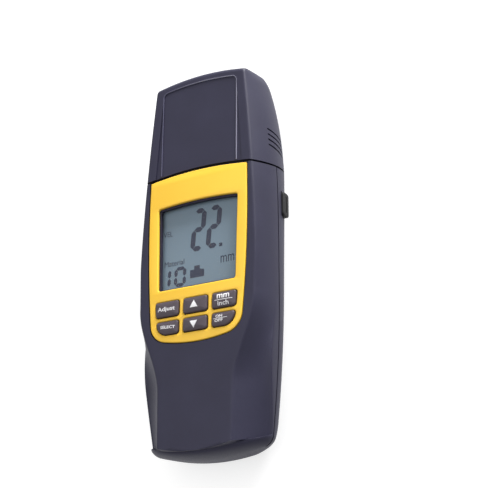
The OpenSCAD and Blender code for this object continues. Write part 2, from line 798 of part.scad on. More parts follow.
// Cross recess in a screw head
module cross_cut() {
    for (a = [0, 90])
        rotate(a) translate([-cross_l / 2, -cross_w / 2, -1]) cube([cross_l, cross_w, cross_depth + 1]);
}
module case_screws() {
    color(steel)
        at_case_screws() {
            translate([0, 0, case_seat_z - case_head_h])
                difference() {
                    cylinder(r = case_head_r, h = case_head_h);
                    cross_cut();
                }
            translate([0, 0, case_seat_z - 0.1])
                cylinder(r = case_shank_r, h = case_top_z - case_seat_z + 0.1);
        }
}
module board_screws() {
    color(steel)
        at_board_screws() {
            translate([0, 0, board_low_z - board_head_h])
                difference() {
                    cylinder(r = board_head_r, h = board_head_h);
                    cross_cut();
                }
            translate([0, 0, board_low_z - 0.1]) cylinder(r = board_screw_r, h = board_t + board_bite);
        }
}

// Jack behind the side port, and its rubber cover
jack_l = 10;
jack_back = 1.5;
jack_foot_w = 6;
jack_case = 4;
jack_face_x = port_wall_x - wall - 3.2;
module data_jack() {
    color(rubber_black)
        difference() {
            union() {
                port_box(jack_face_x - jack_l, jack_face_x - jack_back, 2 * jack_case, 2 * jack_case);
                translate([jack_face_x - jack_l, port_y - jack_case, wall])
                    cube([jack_foot_w, 2 * jack_case, port_z - wall]);
                translate([jack_face_x - jack_l, port_y, port_z]) rotate([0, 90, 0])
                    cylinder(r = jack_r, h = jack_l);
            }
            translate([jack_face_x - jack_l + jack_back, port_y, port_z]) rotate([0, 90, 0])
                cylinder(r = jack_bore_r, h = jack_l);
        }
}
module port_cover() {
    color(rubber_black) {
        port_box(port_wall_x - port_sunk + set_gap, port_wall_x + port_proud, port_w, port_h);
        port_box(jack_face_x + run_gap, port_wall_x, plug_w, plug_h);
    }
}

front_shell();
rear_shell();
probe_cap();
probe_holder();
faceplate();
display_window();
lcd_panel();
lcd_connectors();
main_board();
keypad_mat();
key(0, 0);  // key_adjust
key(1, 0);  // key_up
key(2, 0);  // key_unit
key(0, 1);  // key_select
key(1, 1);  // key_down
key(2, 1);  // key_power
cell(0);  // cell_1
cell(1);  // cell_2
cell(2);  // cell_3
cell(3);  // cell_4
contact_springs();
contact_plates();
battery_door();
case_screws();
board_screws();
probe_sockets();
probe_sleeve();
probe_face();
data_jack();
port_cover();
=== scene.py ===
"""Handheld ultrasonic thickness gauge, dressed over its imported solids.

The frame is the solids' own: X across, Y along towards the cap, Z out of the front, back flat at zero.
Sizes are written in millimetres and turned to metres where a mesh is made.
"""

import logging
import math
from dataclasses import dataclass, field
from enum import Enum
from functools import cached_property
from typing import Any, Callable, Iterable, Sequence

import bmesh
import bpy
import numpy as np
from mathutils import Matrix, Vector

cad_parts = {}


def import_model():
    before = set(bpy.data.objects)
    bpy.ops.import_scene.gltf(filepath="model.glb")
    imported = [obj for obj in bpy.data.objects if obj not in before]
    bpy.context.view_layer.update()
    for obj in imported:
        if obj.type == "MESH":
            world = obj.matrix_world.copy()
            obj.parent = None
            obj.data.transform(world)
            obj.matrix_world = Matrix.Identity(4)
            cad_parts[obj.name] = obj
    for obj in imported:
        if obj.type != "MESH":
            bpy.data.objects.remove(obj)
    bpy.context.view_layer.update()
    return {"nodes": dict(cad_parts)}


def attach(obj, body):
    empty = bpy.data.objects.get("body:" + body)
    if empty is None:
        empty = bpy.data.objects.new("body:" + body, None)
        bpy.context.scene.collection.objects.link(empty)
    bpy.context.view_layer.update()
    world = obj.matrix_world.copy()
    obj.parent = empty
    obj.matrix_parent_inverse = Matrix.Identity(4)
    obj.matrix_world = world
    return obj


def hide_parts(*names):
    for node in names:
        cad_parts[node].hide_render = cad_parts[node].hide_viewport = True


MM = 0.001
WELD = 1e-7  # metres within which corners are one
MARK_T = 0.04  # thickness of printed and displayed marks
FINE = 40  # points along a bent or wound path
MOST_SPLITS = 6  # times that a long edge may be halved
ONTO_Y = (-math.pi / 2, 0.0, 0.0)  # turn that lays an upright axis along Y
LOG = logging.getLogger("gauge")
Point2 = tuple[float, float]
Point3 = tuple[float, float, float]
Object = bpy.types.Object
Socket = bpy.types.NodeSocket
Tree = bpy.types.NodeTree


class Body(Enum):
    """Bodies of the part that pieces ride on."""

    HOUSING = "housing"
    CAP = "cap"
    DOOR = "door"
    COVER = "cover"
    ADJUST = "adjust_key"
    UP = "up_key"
    UNIT = "unit_key"
    SELECT = "select_key"
    DOWN = "down_key"
    POWER = "power_key"


def mix(a: float, b: float, t: float) -> float:
    """Value between a and b at share t."""
    return a + (b - a) * t


def steps(a: float, b: float, count: int) -> list[float]:
    """Values at even steps from a to b."""
    return [mix(a, b, i / count) for i in range(count + 1)]


def clamp01(t: float) -> float:
    """t held between 0 and 1."""
    return min(1.0, max(0.0, t))


def smooth(t: float) -> float:
    """Smooth step from 0 to 1."""
    c = clamp01(t)
    return c * c * (3 - 2 * c)


def quarter(t: float) -> float:
    """Fall of a quarter circle at t from 0 to 1."""
    return 1 - math.sqrt(max(0.0, 1 - clamp01(t) ** 2))


@dataclass(frozen=True)
class HousingForm:
    """Sections of the moulded housing: the solids' own rules, taken at a finer step.

    A section is a half-profile of (x, z) points from the centre line to the parting line.
    """

    length: float = 165.0
    width: float = 60.0
    depth: float = 30.0
    parting_z: float = 15.5
    wall: float = 2.2
    front_wall: float = 2.4
    seam_y: float = 37.4
    seam_gap: float = 0.9
    front_half_w: float = 27.1
    cap_half_w: float = 21.6
    ridge_power: float = 1.5
    spine_half_w: float = 17.2
    scoop_sag: float = 1.6
    lip_step: float = 1.3
    lip_y: float = -80.9
    tail_lean: float = 0.09
    seam_lean: float = 0.2
    nose_lean: float = 0.15
    step_w: float = 0.5
    belly_y: float = -20.0
    tail_loss: float = 3.4
    nose_loss: float = 6.4
    nose_power: int = 4
    tail_corner: float = 3.0
    nose_corner: float = 5.0
    nose_flare: float = 0.6
    scoop_top_y: float = -22.0
    scoop_end_y: float = -58.0
    scoop_share: float = 0.8
    rim_share: float = 0.2
    rim_w: float = 0.8
    rim_top_h: float = 10.5
    rim_h: float = 1.0
    edge_drop: float = 0.9
    edge_w: float = 1.1
    edge_pull: Point2 = (-0.12, 0.02)
    edge_share: float = 0.05
    back_round: float = 4.2
    tail_back_round: float = 10.0
    end_l: float = 10.0
    end_h: float = 10.5
    nose_end_l: float = 40.0
    nose_end_h: float = 8.0
    nose_round: float = 2.2
    lip_end_h: float = 1.6
    tail_bow: float = 0.0062
    seam_bow: float = -0.0034
    nose_bow: float = -0.005
    face_wide_y: float = -4.0
    face_loss: float = 0.5
    spine_loss: float = 0.4
    rebate_h: float = 0.3
    rebate_w: float = 0.8
    flat_steps: int = 10
    edge_steps: int = 7
    side_steps: int = 44

    @property
    def tail_y(self) -> float:
        """Station of the bottom end."""
        return -self.length / 2 - self.tail_lean * (self.depth - self.parting_z)

    @property
    def nose_y(self) -> float:
        """Station of the cap's top."""
        return self.length / 2

    @property
    def cap_low(self) -> float:
        """Station of the cap's lower edge."""
        return self.seam_y + self.seam_gap

    def along(self, s: float, tail: float, seam: float, nose: float) -> float:
        """A value given at tail, seam and nose, taken between them.

        Args:
            s: Station. tail, seam, nose: The value at each.
        Returns:
            The value at the station.
        """
        if s < self.seam_y:
            return mix(tail, seam, clamp01((s - self.tail_y) / (self.seam_y - self.tail_y)))
        return mix(seam, nose, clamp01((s - self.seam_y) / (self.nose_y - self.seam_y)))

    def bent_y(self, s: float, x: float, z: float) -> float:
        """Place along Y of a section's point: sections bow across and lean with depth.

        Args:
            s: Station. x, z: Place in the section.
        Returns:
            The place along Y.
        """
        bow = self.along(s, self.tail_bow, self.seam_bow, self.nose_bow)
        lean = self.along(s, self.tail_lean, self.seam_lean, self.nose_lean)
        return s + bow * x * x + lean * (self.depth - z)

    def scooped(self, s: float) -> float:
        """Share of the finger scoop in a section."""
        return smooth((self.scoop_top_y - s) / (self.scoop_top_y - self.scoop_end_y))

    def ridge(self, s: float) -> float:
        """Half-width of the front face.

        Args:
            s: Station.
        Returns:
            The half-width.
        """
        if s > self.face_wide_y:
            share = clamp01((s - self.face_wide_y) / (self.nose_y - self.face_wide_y))
            return mix(self.front_half_w, self.cap_half_w, share**self.ridge_power)
        face = self.front_half_w - self.face_loss * clamp01((self.face_wide_y - s) / (self.face_wide_y - self.belly_y))
        spine = self.spine_half_w - self.spine_loss * clamp01((self.scoop_end_y - s) / (self.scoop_end_y - self.lip_y))
        return mix(face, spine, self.scooped(s))

    def side(self, s: float) -> float:
        """Half-width of the sides, with round corners in plan at both ends.

        Args:
            s: Station.
        Returns:
            The half-width.
        """
        if s > self.belly_y:
            share = (s - self.belly_y) / (self.nose_y - self.belly_y)
            plain = self.width / 2 - self.nose_loss * share**self.nose_power
        else:
            plain = self.width / 2 - self.tail_loss * ((self.belly_y - s) / (self.belly_y - self.tail_y)) ** 2
        start = self.nose_y - self.nose_corner
        if s > start:
            return mix(plain, self.cap_half_w + self.nose_flare, quarter((s - start) / self.nose_corner))
        return plain - self.tail_corner * quarter((self.tail_y + self.tail_corner - s) / self.tail_corner)

    def front_z(self, s: float) -> float:
        """Height of the front face on the centre line.

        Args:
            s: Station.
        Returns:
            The height.
        """
        if s <= self.lip_y:
            share = 1 - quarter((self.lip_y - s) / (self.lip_y - self.tail_y))
            return mix(self.parting_z + self.lip_end_h, self.depth - self.lip_step, share)
        return self.depth - self.nose_round * quarter((s - self.nose_y + self.nose_round) / self.nose_round)

    def back_z(self, s: float) -> float:
        """Height of the back on the centre line.

        Args:
            s: Station.
        Returns:
            The height.
        """
        nose = self.nose_end_h * quarter((s - self.nose_y + self.nose_end_l) / self.nose_end_l)
        tail = self.end_h * quarter((self.tail_y + self.end_l - s) / self.end_l)
        return max(nose, tail)

    def _side_point(self, s: float, u: float, f: float, w: float, z: float) -> Point2:
        """Point of the side at share u from the ridge to the parting line.

        Args:
            s: Station. u: Share of the way down. f, w: Half-widths of face and side. z: Height at the ridge.
        Returns:
            (x, z) of the point, a blend of the plain side and the scooped one.
        """
        hollow = clamp01(u / self.scoop_share)
        lip = clamp01((u - self.scoop_share) / self.rim_share)
        share = clamp01((self.scoop_top_y - s) / (self.scoop_top_y - self.lip_y))
        rim_z = self.parting_z + mix(self.rim_top_h, self.rim_h, share)
        sag = self.scoop_sag * 4 * hollow * (1 - hollow)
        round_x, round_z = f + (w - f) * (1 - (1 - u) ** 2), mix(z, self.parting_z, u)
        hollow_x = mix(mix(f, w - self.rim_w, hollow), w, 1 - quarter(1 - lip))
        hollow_z = mix(mix(z, rim_z, hollow) - sag, self.parting_z, quarter(lip))
        k = self.scooped(s)
        return mix(round_x, hollow_x, k), mix(round_z, hollow_z, k)

    def front_half(self, s: float, t: float, d: float) -> list[Point2]:
        """Half-profile of the front, inset by t at the sides and by d in height, with a rounded ridge.

        Args:
            s: Station. t, d: Insets at the sides and in height.
        Returns:
            Points from the centre line to the parting line.
        """
        f, w, z = self.ridge(s) - t, self.side(s) - t, self.front_z(s) - d
        low = z - self.edge_drop / 2
        start, turn = (f - self.edge_w, z), (f + self.edge_pull[0], z + self.edge_pull[1])
        end = self._side_point(s, self.edge_share, f, w, low)
        main = [(start[0] * i / self.flat_steps, z) for i in range(self.flat_steps)]
        for i in range(self.edge_steps):
            a = i / self.edge_steps
            main.append(tuple((1 - a) ** 2 * p + 2 * a * (1 - a) * q + a * a * r for p, q, r in zip(start, turn, end)))
        main += [self._side_point(s, u, f, w, low) for u in steps(self.edge_share, 1, self.side_steps)]
        lipped = clamp01((self.lip_y + self.step_w - s) / self.step_w)
        if lipped <= 0:
            return main
        n = len(main) - 1
        angles = [math.pi / 2 * i / n for i in range(n + 1)]
        lip = [(w * math.sin(a), self.parting_z + (z - self.parting_z) * math.cos(a)) for a in angles]
        return [(mix(p[0], q[0], lipped), mix(p[1], q[1], lipped)) for p, q in zip(main, lip)]

    def back_half(self, s: float, t: float) -> list[Point2]:
        """Half-profile of the back, inset by t: flat, then a parabola up to the parting line.

        Args:
            s: Station. t: Inset.
        Returns:
            Points from the centre line to the parting line.
        """
        w = self.side(s) - t
        r = self.along(s, self.tail_back_round, self.back_round, self.back_round)
        z = self.back_z(s) + t
        half = [((w - r) * i / self.flat_steps, z) for i in range(self.flat_steps)]
        rise = self.edge_steps + self.side_steps
        shares = [i / rise for i in range(rise + 1)]
        return half + [(w - r + r * (1 - (1 - v) ** 2), mix(z, self.parting_z, v)) for v in shares]

    def line(self, s: float, half: Sequence[Point2], z: float | None = None) -> list[Point3]:
        """A half-profile mirrored and set at its bowed station, or its shadow on the plane at height z."""
        points = [(-x, h) for x, h in reversed(half[1:])] + list(half)
        return [(x, self.bent_y(s, x, h if z is None else self.parting_z), h if z is None else z) for x, h in points]

    def rebated(self, half: Sequence[Point2], up: bool) -> list[Point2]:
        """A half-profile with a small rebate at the parting line, so that the shells meet in a shadow gap.

        Args:
            half: Plain half-profile. up: Whether it lies above the parting line.
        Returns:
            The half-profile, ending at the foot of the rebate.
        """
        edge = self.parting_z + (self.rebate_h if up else -self.rebate_h)
        kept = [(x, max(z, edge) if up else min(z, edge)) for x, z in half]
        foot = half[-1][0] - self.rebate_w
        return kept + [(foot, edge), (foot, self.parting_z)]


class Outline:
    """A convex outline in the XY plane, counter-clockwise, in millimetres."""

    CORNER_STEP = 0.12  # radians between the points of a round corner
    SHORTEST = 1e-7  # length under which an edge has no direction

    def __init__(self, points: Iterable[Point2]) -> None:
        """Keeps the points as an array."""
        self.points = np.array(list(points), float)

    @classmethod
    def disc(cls, x: float, y: float, r: float, count: int = 720) -> "Outline":
        """A circle."""
        turns = [2 * math.pi * i / count for i in range(count)]
        return cls((x + r * math.cos(a), y + r * math.sin(a)) for a in turns)

    @classmethod
    def box(cls, x0: float, y0: float, x1: float, y1: float) -> "Outline":
        """A rectangle."""
        return cls([(x0, y0), (x1, y0), (x1, y1), (x0, y1)])

    def _clip(self, origin: np.ndarray, inward: np.ndarray) -> "Outline":
        """The part on the inner side of one line.

        Args:
            origin: A point of the line. inward: Normal towards the part that stays.
        Returns:
            The part that stays.
        """
        if len(self.points) < 3:
            return self
        away = (self.points - origin) @ inward
        kept = []
        for i, (a, b) in enumerate(zip(self.points, np.roll(self.points, -1, 0))):
            da, db = away[i], away[(i + 1) % len(away)]
            if da >= 0:
                kept.append(a)
            if (da >= 0) != (db >= 0):
                kept.append(a + (b - a) * (da / (da - db)))
        return Outline(kept)

    def edges(self) -> list[tuple[np.ndarray, np.ndarray]]:
        """Start and inward normal of each edge.

        Returns:
            A start and a normal for each edge.
        """
        out = []
        for a, b in zip(self.points, np.roll(self.points, -1, 0)):
            d = b - a
            size = np.hypot(*d)
            if size > self.SHORTEST:
                out.append((a, np.array((-d[1], d[0])) / size))
        return out

    def meet(self, other: "Outline") -> "Outline":
        """The area that both outlines share.

        Args:
            other: The other outline.
        Returns:
            The shared area.
        """
        out = self
        for start, inward in other.edges():
            out = out._clip(start, inward)
        return out

    def inset(self, d: float) -> "Outline":
        """The outline moved inwards by d.

        Args:
            d: Distance.
        Returns:
            The new outline.
        """
        out = self
        for start, inward in self.edges():
            out = out._clip(start + inward * d, inward)
        return out

    def grow(self, d: float) -> "Outline":
        """The outline moved outwards by d, with round corners.

        Args:
            d: Distance.
        Returns:
            The new outline.
        """
        edges = self.edges()
        out = []
        for (_, before), (start, after) in zip(edges[-1:] + edges[:-1], edges):
            a0, a1 = math.atan2(-before[1], -before[0]), math.atan2(-after[1], -after[0])
            turn = (a1 - a0) % (2 * math.pi)
            count = max(1, int(turn / self.CORNER_STEP))
            for k in range(count + 1):
                a = a0 + turn * k / count
                out.append(start + d * np.array((math.cos(a), math.sin(a))))
        return Outline(out)

    def rounded(self, r: float) -> "Outline":
        """The outline with corners of radius r."""
        return self.inset(r).grow(r)

    def even(self, count: int) -> "Outline":
        """The outline with points at equal steps.

        Args:
            count: Points.
        Returns:
            The new outline.
        """
        loop = np.vstack([self.points, self.points[:1]])
        run = np.concatenate([[0], np.cumsum(np.hypot(*np.diff(loop, axis=0).T))])
        at = np.linspace(0, run[-1], count, endpoint=False)
        return Outline(np.stack([np.interp(at, run, loop[:, 0]), np.interp(at, run, loop[:, 1])], 1))

    def pulled(self, d: float) -> np.ndarray:
        """Each point moved inwards by d along its own normal.

        Args:
            d: Distance.
        Returns:
            The moved points.
        """
        ahead = np.roll(self.points, -1, 0) - np.roll(self.points, 1, 0)
        ahead /= np.hypot(*ahead.T)[:, None] + 1e-12
        return self.points + d * np.stack([-ahead[:, 1], ahead[:, 0]], 1)


def metres(point: Sequence[float]) -> tuple[float, ...]:
    """A point or size in metres, from millimetres."""
    return tuple(c * MM for c in point)


def linked(name: str, data: bpy.types.ID) -> Object:
    """A new object at the origin, linked to the scene.

    Args:
        name: Object name. data: Mesh, curve, camera or lamp.
    Returns:
        The object.
    """
    obj = bpy.data.objects.new(name, data)
    bpy.context.scene.collection.objects.link(obj)
    return obj


def mend(data: bpy.types.Mesh, solid: bool = False) -> None:
    """Merges a mesh's doubles and turns its faces outwards.

    Args:
        data: Mesh to change. solid: Whether it is closed, so that its volume tells which way is out.
    """
    work = bmesh.new()
    work.from_mesh(data)
    bmesh.ops.remove_doubles(work, verts=work.verts, dist=WELD)
    bmesh.ops.recalc_face_normals(work, faces=work.faces)
    if solid and work.calc_volume(signed=True) < 0:
        bmesh.ops.reverse_faces(work, faces=work.faces)
    work.to_mesh(data)
    work.free()


def plain_mesh(obj: Object) -> bpy.types.Mesh:
    """The mesh of an object with its modifiers, or of a curve or text, as it is evaluated.

    Args:
        obj: Object to evaluate.
    Returns:
        The new mesh.
    """
    bpy.context.view_layer.update()
    graph = bpy.context.evaluated_depsgraph_get()
    return bpy.data.meshes.new_from_object(obj.evaluated_get(graph), depsgraph=graph)


def mesh_object(name: str, points: Sequence[Sequence[float]], faces: Sequence[Sequence[int]]) -> Object:
    """An object from points in millimetres and faces, with its faces turned outwards.

    Args:
        name: Piece name. points: Corners. faces: Corner indices of each face.
    Returns:
        The linked object at the origin.
    """
    data = bpy.data.meshes.new(name)
    data.from_pydata([metres(p) for p in points], [], [tuple(f) for f in faces])
    mend(data)
    return linked(name, data)


def loft(name: str, upper: Sequence[Sequence[Point3]], lower: Sequence[Sequence[Point3]]) -> Object:
    """Closed solid between two surfaces that share their side edges.

    Args:
        name: Piece name. upper, lower: Lines of points for each station, from left to right.
    Returns:
        The solid.
    """
    n, s = len(upper[0]), len(upper)
    points: list[Point3] = []
    for up, low in zip(upper, lower):
        points += list(up) + list(low[1:-1])

    def at(j: int, under: bool, i: int) -> int:
        """Index of point i on the upper or lower line of station j."""
        return j * (2 * n - 2) + (n - 1 + i if under and 0 < i < n - 1 else i)

    faces = []
    for under in (False, True):
        for j in range(s - 1):
            for i in range(n - 1):
                faces.append((at(j, under, i), at(j, under, i + 1), at(j + 1, under, i + 1), at(j + 1, under, i)))
    for j in (0, s - 1):
        for i in range(n - 1):
            ring = (at(j, True, i), at(j, True, i + 1), at(j, False, i + 1), at(j, False, i))
            faces.append(tuple(dict.fromkeys(ring)))
    return mesh_object(name, points, faces)


def half_solid(name: str, form: HousingForm, rows: Sequence[float], section: Callable[[float], list[Point2]],
               level: float, front: bool = False) -> Object:
    """Closed solid between one side of the housing and a level plane.

    Args:
        name: Piece name. form: Housing. rows: Stations. section: Half-profile at a station.
        level: Height of the plane. front: Whether the section is the front's, above the plane.
    Returns:
        The solid.
    """
    halves = [section(s) for s in rows]
    curved = [form.line(s, half) for s, half in zip(rows, halves)]
    flat = [form.line(s, half, level) for s, half in zip(rows, halves)]
    return loft(name, curved, flat) if front else loft(name, flat, curved)


def back_solid(name: str, form: HousingForm, rows: Sequence[float], inset: float) -> Object:
    """Closed solid between the back, moved inwards by an inset, and the parting line."""
    return half_solid(name, form, rows, lambda s: form.back_half(s, inset), form.parting_z)


def full_solid(name: str, form: HousingForm, rows: Sequence[float], inset: float, under: float) -> Object:
    """Closed solid between back and front, moved inwards by an inset, and the front down by another."""
    return loft(name, [form.line(s, form.front_half(s, inset, under)) for s in rows],
                [form.line(s, form.back_half(s, inset)) for s in rows])


def prism(name: str, outline: Outline, low: float, top: float) -> Object:
    """An outline carried straight from one height to another.

    Args:
        name: Piece name. outline: Plan. low, top: Heights of its ends.
    Returns:
        The solid.
    """
    n = len(outline.points)
    points = [(x, y, z) for z in (low, top) for x, y in outline.points]
    faces: list[Sequence[int]] = [range(n), range(n, 2 * n)]
    faces += [(i, (i + 1) % n, n + (i + 1) % n, n + i) for i in range(n)]
    return mesh_object(name, points, faces)


def block(name: str, low: Point3, top: Point3) -> Object:
    """A cutting block between two corners."""
    return prism(name, Outline.box(low[0], low[1], top[0], top[1]), low[2], top[2])


def rod(name: str, start: Point3, r: float, h: float, count: int = 64) -> Object:
    """A round upright bar from a point.

    Args:
        name: Piece name. start: Middle of its lower end. r, h: Radius and height. count: Facets.
    Returns:
        The bar.
    """
    obj = prism(name, Outline.disc(0, 0, r, count), 0, h)
    obj.data.transform(Matrix.Translation(Vector(start) * MM))
    return obj


class Cut(Enum):
    """What a cutter does to a piece."""

    AWAY = "DIFFERENCE"
    KEEP = "INTERSECT"
    JOIN = "UNION"


def carve(obj: Object, *cutters: Object, how: Cut = Cut.AWAY) -> Object:
    """Applies cutters to a piece one after the other and removes them.

    Args:
        obj: Piece to change. cutters: Closed solids. how: What they do.
    Returns:
        The same object with its new mesh.
    """
    for cutter in cutters:
        tool = obj.modifiers.new("cut", "BOOLEAN")
        tool.operation, tool.solver, tool.object = how.value, "MANIFOLD", cutter
        bake(obj)
        bpy.data.objects.remove(cutter)
    return obj


def bake(obj: Object) -> Object:
    """Turns an object's modifiers into its plain mesh.

    Args:
        obj: Object to change.
    Returns:
        The same object.
    """
    data, old = plain_mesh(obj), obj.data
    obj.modifiers.clear()
    obj.data = data
    data.name = obj.name
    bpy.data.meshes.remove(old)
    return obj


def shade(obj: Object, degrees: float = 32) -> Object:
    """Smooth shading with crisp edges above an angle.

    Args:
        obj: Object to change. degrees: Angle above which an edge stays crisp.
    Returns:
        The same object.
    """
    obj.data.shade_smooth()
    obj.data.set_sharp_from_angle(angle=math.radians(degrees))
    return obj


def settle(obj: Object, body: Body, finish: "Finish", *nodes: str) -> Object:
    """Dresses a finished piece and sets it on its body.

    Args:
        obj: Piece. body: Body that carries it. finish: Its material. nodes: Solids that it stands for.
    Returns:
        The piece.
    """
    obj.data.materials.clear()
    obj.data.materials.append(finish.material())
    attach(obj, body.value)
    if nodes:
        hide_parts(*nodes)
    LOG.info("piece %s: %d faces", obj.name, len(obj.data.polygons))
    return obj


def linear(code: str) -> tuple[float, float, float, float]:
    """An sRGB hex colour as linear RGBA."""
    parts = [int(code[i : i + 2], 16) / 255 for i in (1, 3, 5)]
    return (*[c / 12.92 if c <= 0.04045 else ((c + 0.055) / 1.055) ** 2.4 for c in parts], 1.0)


def per_mm(size: float) -> float:
    """Texture scale at which a pattern's step is this many millimetres, on coordinates in metres."""
    return 1 / (size * MM)


def add_node(tree: Tree, kind: str, inputs: dict[Any, Any] | None = None, out: int | str = 0,
             into: Socket | None = None, **settings: Any) -> Socket:
    """Adds a node with its settings, input values and links.

    Args:
        tree: Node tree. kind: Node type. inputs: Value or output socket for each input. out: Output that is used.
        into: Input socket that the output feeds. settings: Node properties.
    Returns:
        The output socket.
    """
    node = tree.nodes.new(kind)
    for key, value in settings.items():
        setattr(node, key, value)
    for key, value in (inputs or {}).items():
        if isinstance(value, Socket):
            tree.links.new(value, node.inputs[key])
        else:
            node.inputs[key].default_value = value
    if into is not None:
        tree.links.new(node.outputs[out], into)
    return node.outputs[out]


def shader_tree(owner: bpy.types.ID, shader: str, values: dict[str, Any]) -> tuple[Tree, bpy.types.Node]:
    """Starts the nodes of a material or world.

    Args:
        owner: Material or world. shader: Name of its shader node. values: What stays the same all over.
    Returns:
        The tree and the shader.
    """
    owner.use_nodes = True
    tree = owner.node_tree
    node = tree.nodes[shader]
    for key, value in values.items():
        node.inputs[key].default_value = value
    return tree, node


@dataclass(frozen=True)
class Finish:
    """A plain finish that the others build on: one colour that drifts a little over the surface."""

    name: str
    slot: str
    colour: str
    shadow: str
    roughness: float = 0.5
    metallic: float = 0.0
    ior: float = 1.5
    specular: float = 0.5
    drift_mm: float = 14.0
    grain_mm: float = 0.4
    grain_depth_mm: float = 0.012
    speckle: float = 0.25

    SPECKLE_SPAN = (0.25, 0.75)
    GLOSS_SPAN = (0.3, 0.7)
    GLOSS_STEP = (-0.05, 0.07)

    def material(self) -> bpy.types.Material:
        """The finish's material, made once."""
        found = bpy.data.materials.get(self.name)
        return found if found else self.build()

    def build(self) -> bpy.types.Material:
        """Makes the material: shader, colour and relief.

        Returns:
            The material.
        """
        made = bpy.data.materials.new(self.name)
        made.diffuse_color = linear(self.colour)
        tree, shader = shader_tree(made, "Principled BSDF", {"Roughness": self.roughness, "Metallic": self.metallic,
                                                             "IOR": self.ior, "Specular IOR Level": self.specular})
        self.dress(tree, shader, add_node(tree, "ShaderNodeTexCoord", out="Object"))
        return made

    def dress(self, tree: Tree, shader: bpy.types.Node, place: Socket) -> None:
        """Adds the pattern: broad drift and fine speckle in colour, grain in relief and gloss.

        Args:
            tree: Material tree. shader: Its shader. place: Object coordinates.
        """
        drift = add_node(tree, "ShaderNodeTexNoise", {"Vector": place, "Scale": per_mm(self.drift_mm), "Detail": 3.0})
        grain = add_node(tree, "ShaderNodeTexNoise", {"Vector": place, "Scale": per_mm(self.grain_mm), "Detail": 2.0})
        low, high = self.SPECKLE_SPAN
        fleck = add_node(tree, "ShaderNodeMapRange", {0: grain, 1: low, 2: high, 3: -self.speckle, 4: self.speckle},
                         clamp=True)
        share = add_node(tree, "ShaderNodeMath", {0: drift, 1: fleck}, use_clamp=True)
        add_node(tree, "ShaderNodeMix", {0: share, 6: linear(self.shadow), 7: linear(self.colour)}, out=2,
                 into=shader.inputs["Base Color"], data_type="RGBA")
        low, high = self.GLOSS_SPAN
        smoother, rougher = (self.roughness + step for step in self.GLOSS_STEP)
        add_node(tree, "ShaderNodeMapRange", {0: grain, 1: low, 2: high, 3: smoother, 4: rougher},
                 into=shader.inputs["Roughness"], clamp=True)
        add_node(tree, "ShaderNodeBump", {"Height": grain, "Distance": self.grain_depth_mm * MM, "Strength": 1.0},
                 into=shader.inputs["Normal"])


@dataclass(frozen=True)
class TurnedMetal(Finish):
    """Metal with fine rings left by the lathe, which stretch its highlights across the turning axis."""

    ring_mm: float = 0.35

    # Radians that a wave texture turns by per unit: the rings come out about 2 mm apart, as coarse as they need to show
    WAVE_RATE = 20
    BUMP = 0.6

    def dress(self, tree: Tree, shader: bpy.types.Node, place: Socket) -> None:
        """Adds rings along Y in colour and relief.

        Args:
            tree: Material tree. shader: Its shader. place: Object coordinates.
        """
        scale = per_mm(self.ring_mm) / self.WAVE_RATE
        rings = add_node(tree, "ShaderNodeTexWave", {"Vector": place, "Scale": scale, "Distortion": 0.6, "Detail": 2.0},
                         out="Fac", bands_direction="Y")
        add_node(tree, "ShaderNodeMix", {0: rings, 6: linear(self.shadow), 7: linear(self.colour)}, out=2,
                 into=shader.inputs["Base Color"], data_type="RGBA")
        add_node(tree, "ShaderNodeBump", {"Height": rings, "Distance": self.grain_depth_mm * MM, "Strength": self.BUMP},
                 into=shader.inputs["Normal"])


@dataclass(frozen=True)
class ClearSheet(Finish):
    """Clear acrylic: mostly unseen, with a faint even sheen."""

    alpha: float = 0.02
    ripple_depth_mm: float = 0.02

    def dress(self, tree: Tree, shader: bpy.types.Node, place: Socket) -> None:
        """Leaves one clear colour with a slight ripple in relief.

        Args:
            tree: Material tree. shader: Its shader. place: Object coordinates.
        """
        shader.inputs["Base Color"].default_value = linear(self.colour)
        shader.inputs["Alpha"].default_value = self.alpha
        ripple = add_node(tree, "ShaderNodeTexNoise", {"Vector": place, "Scale": per_mm(self.drift_mm)})
        add_node(tree, "ShaderNodeBump", {"Height": ripple, "Distance": self.ripple_depth_mm * MM},
                 into=shader.inputs["Normal"])


@dataclass(frozen=True)
class PaintedHighlightPlastic(Finish):
    """Plastic with a painted highlight: its colour turns paler towards the right, the side the light falls from."""

    highlight_colour: str = "#737284"
    from_mm: float = -17.0
    to_mm: float = 2.0

    def dress(self, tree: Tree, shader: bpy.types.Node, place: Socket) -> None:
        """Adds the plain pattern, then a painted highlight: a paler tone along X.

        Args:
            tree: Material tree. shader: Its shader. place: Object coordinates.
        """
        super().dress(tree, shader, place)
        # Painted highlight: the colour turns paler from left to right, as if lit from the right
        across = add_node(tree, "ShaderNodeSeparateXYZ", {0: place}, out="X")
        painted_highlight = add_node(tree, "ShaderNodeMapRange", {0: across, 1: self.from_mm * MM, 2: self.to_mm * MM}, clamp=True)
        plain = shader.inputs["Base Color"].links[0].from_socket
        add_node(tree, "ShaderNodeMix", {0: painted_highlight, 6: plain, 7: linear(self.highlight_colour)}, out=2,
                 into=shader.inputs["Base Color"], data_type="RGBA")


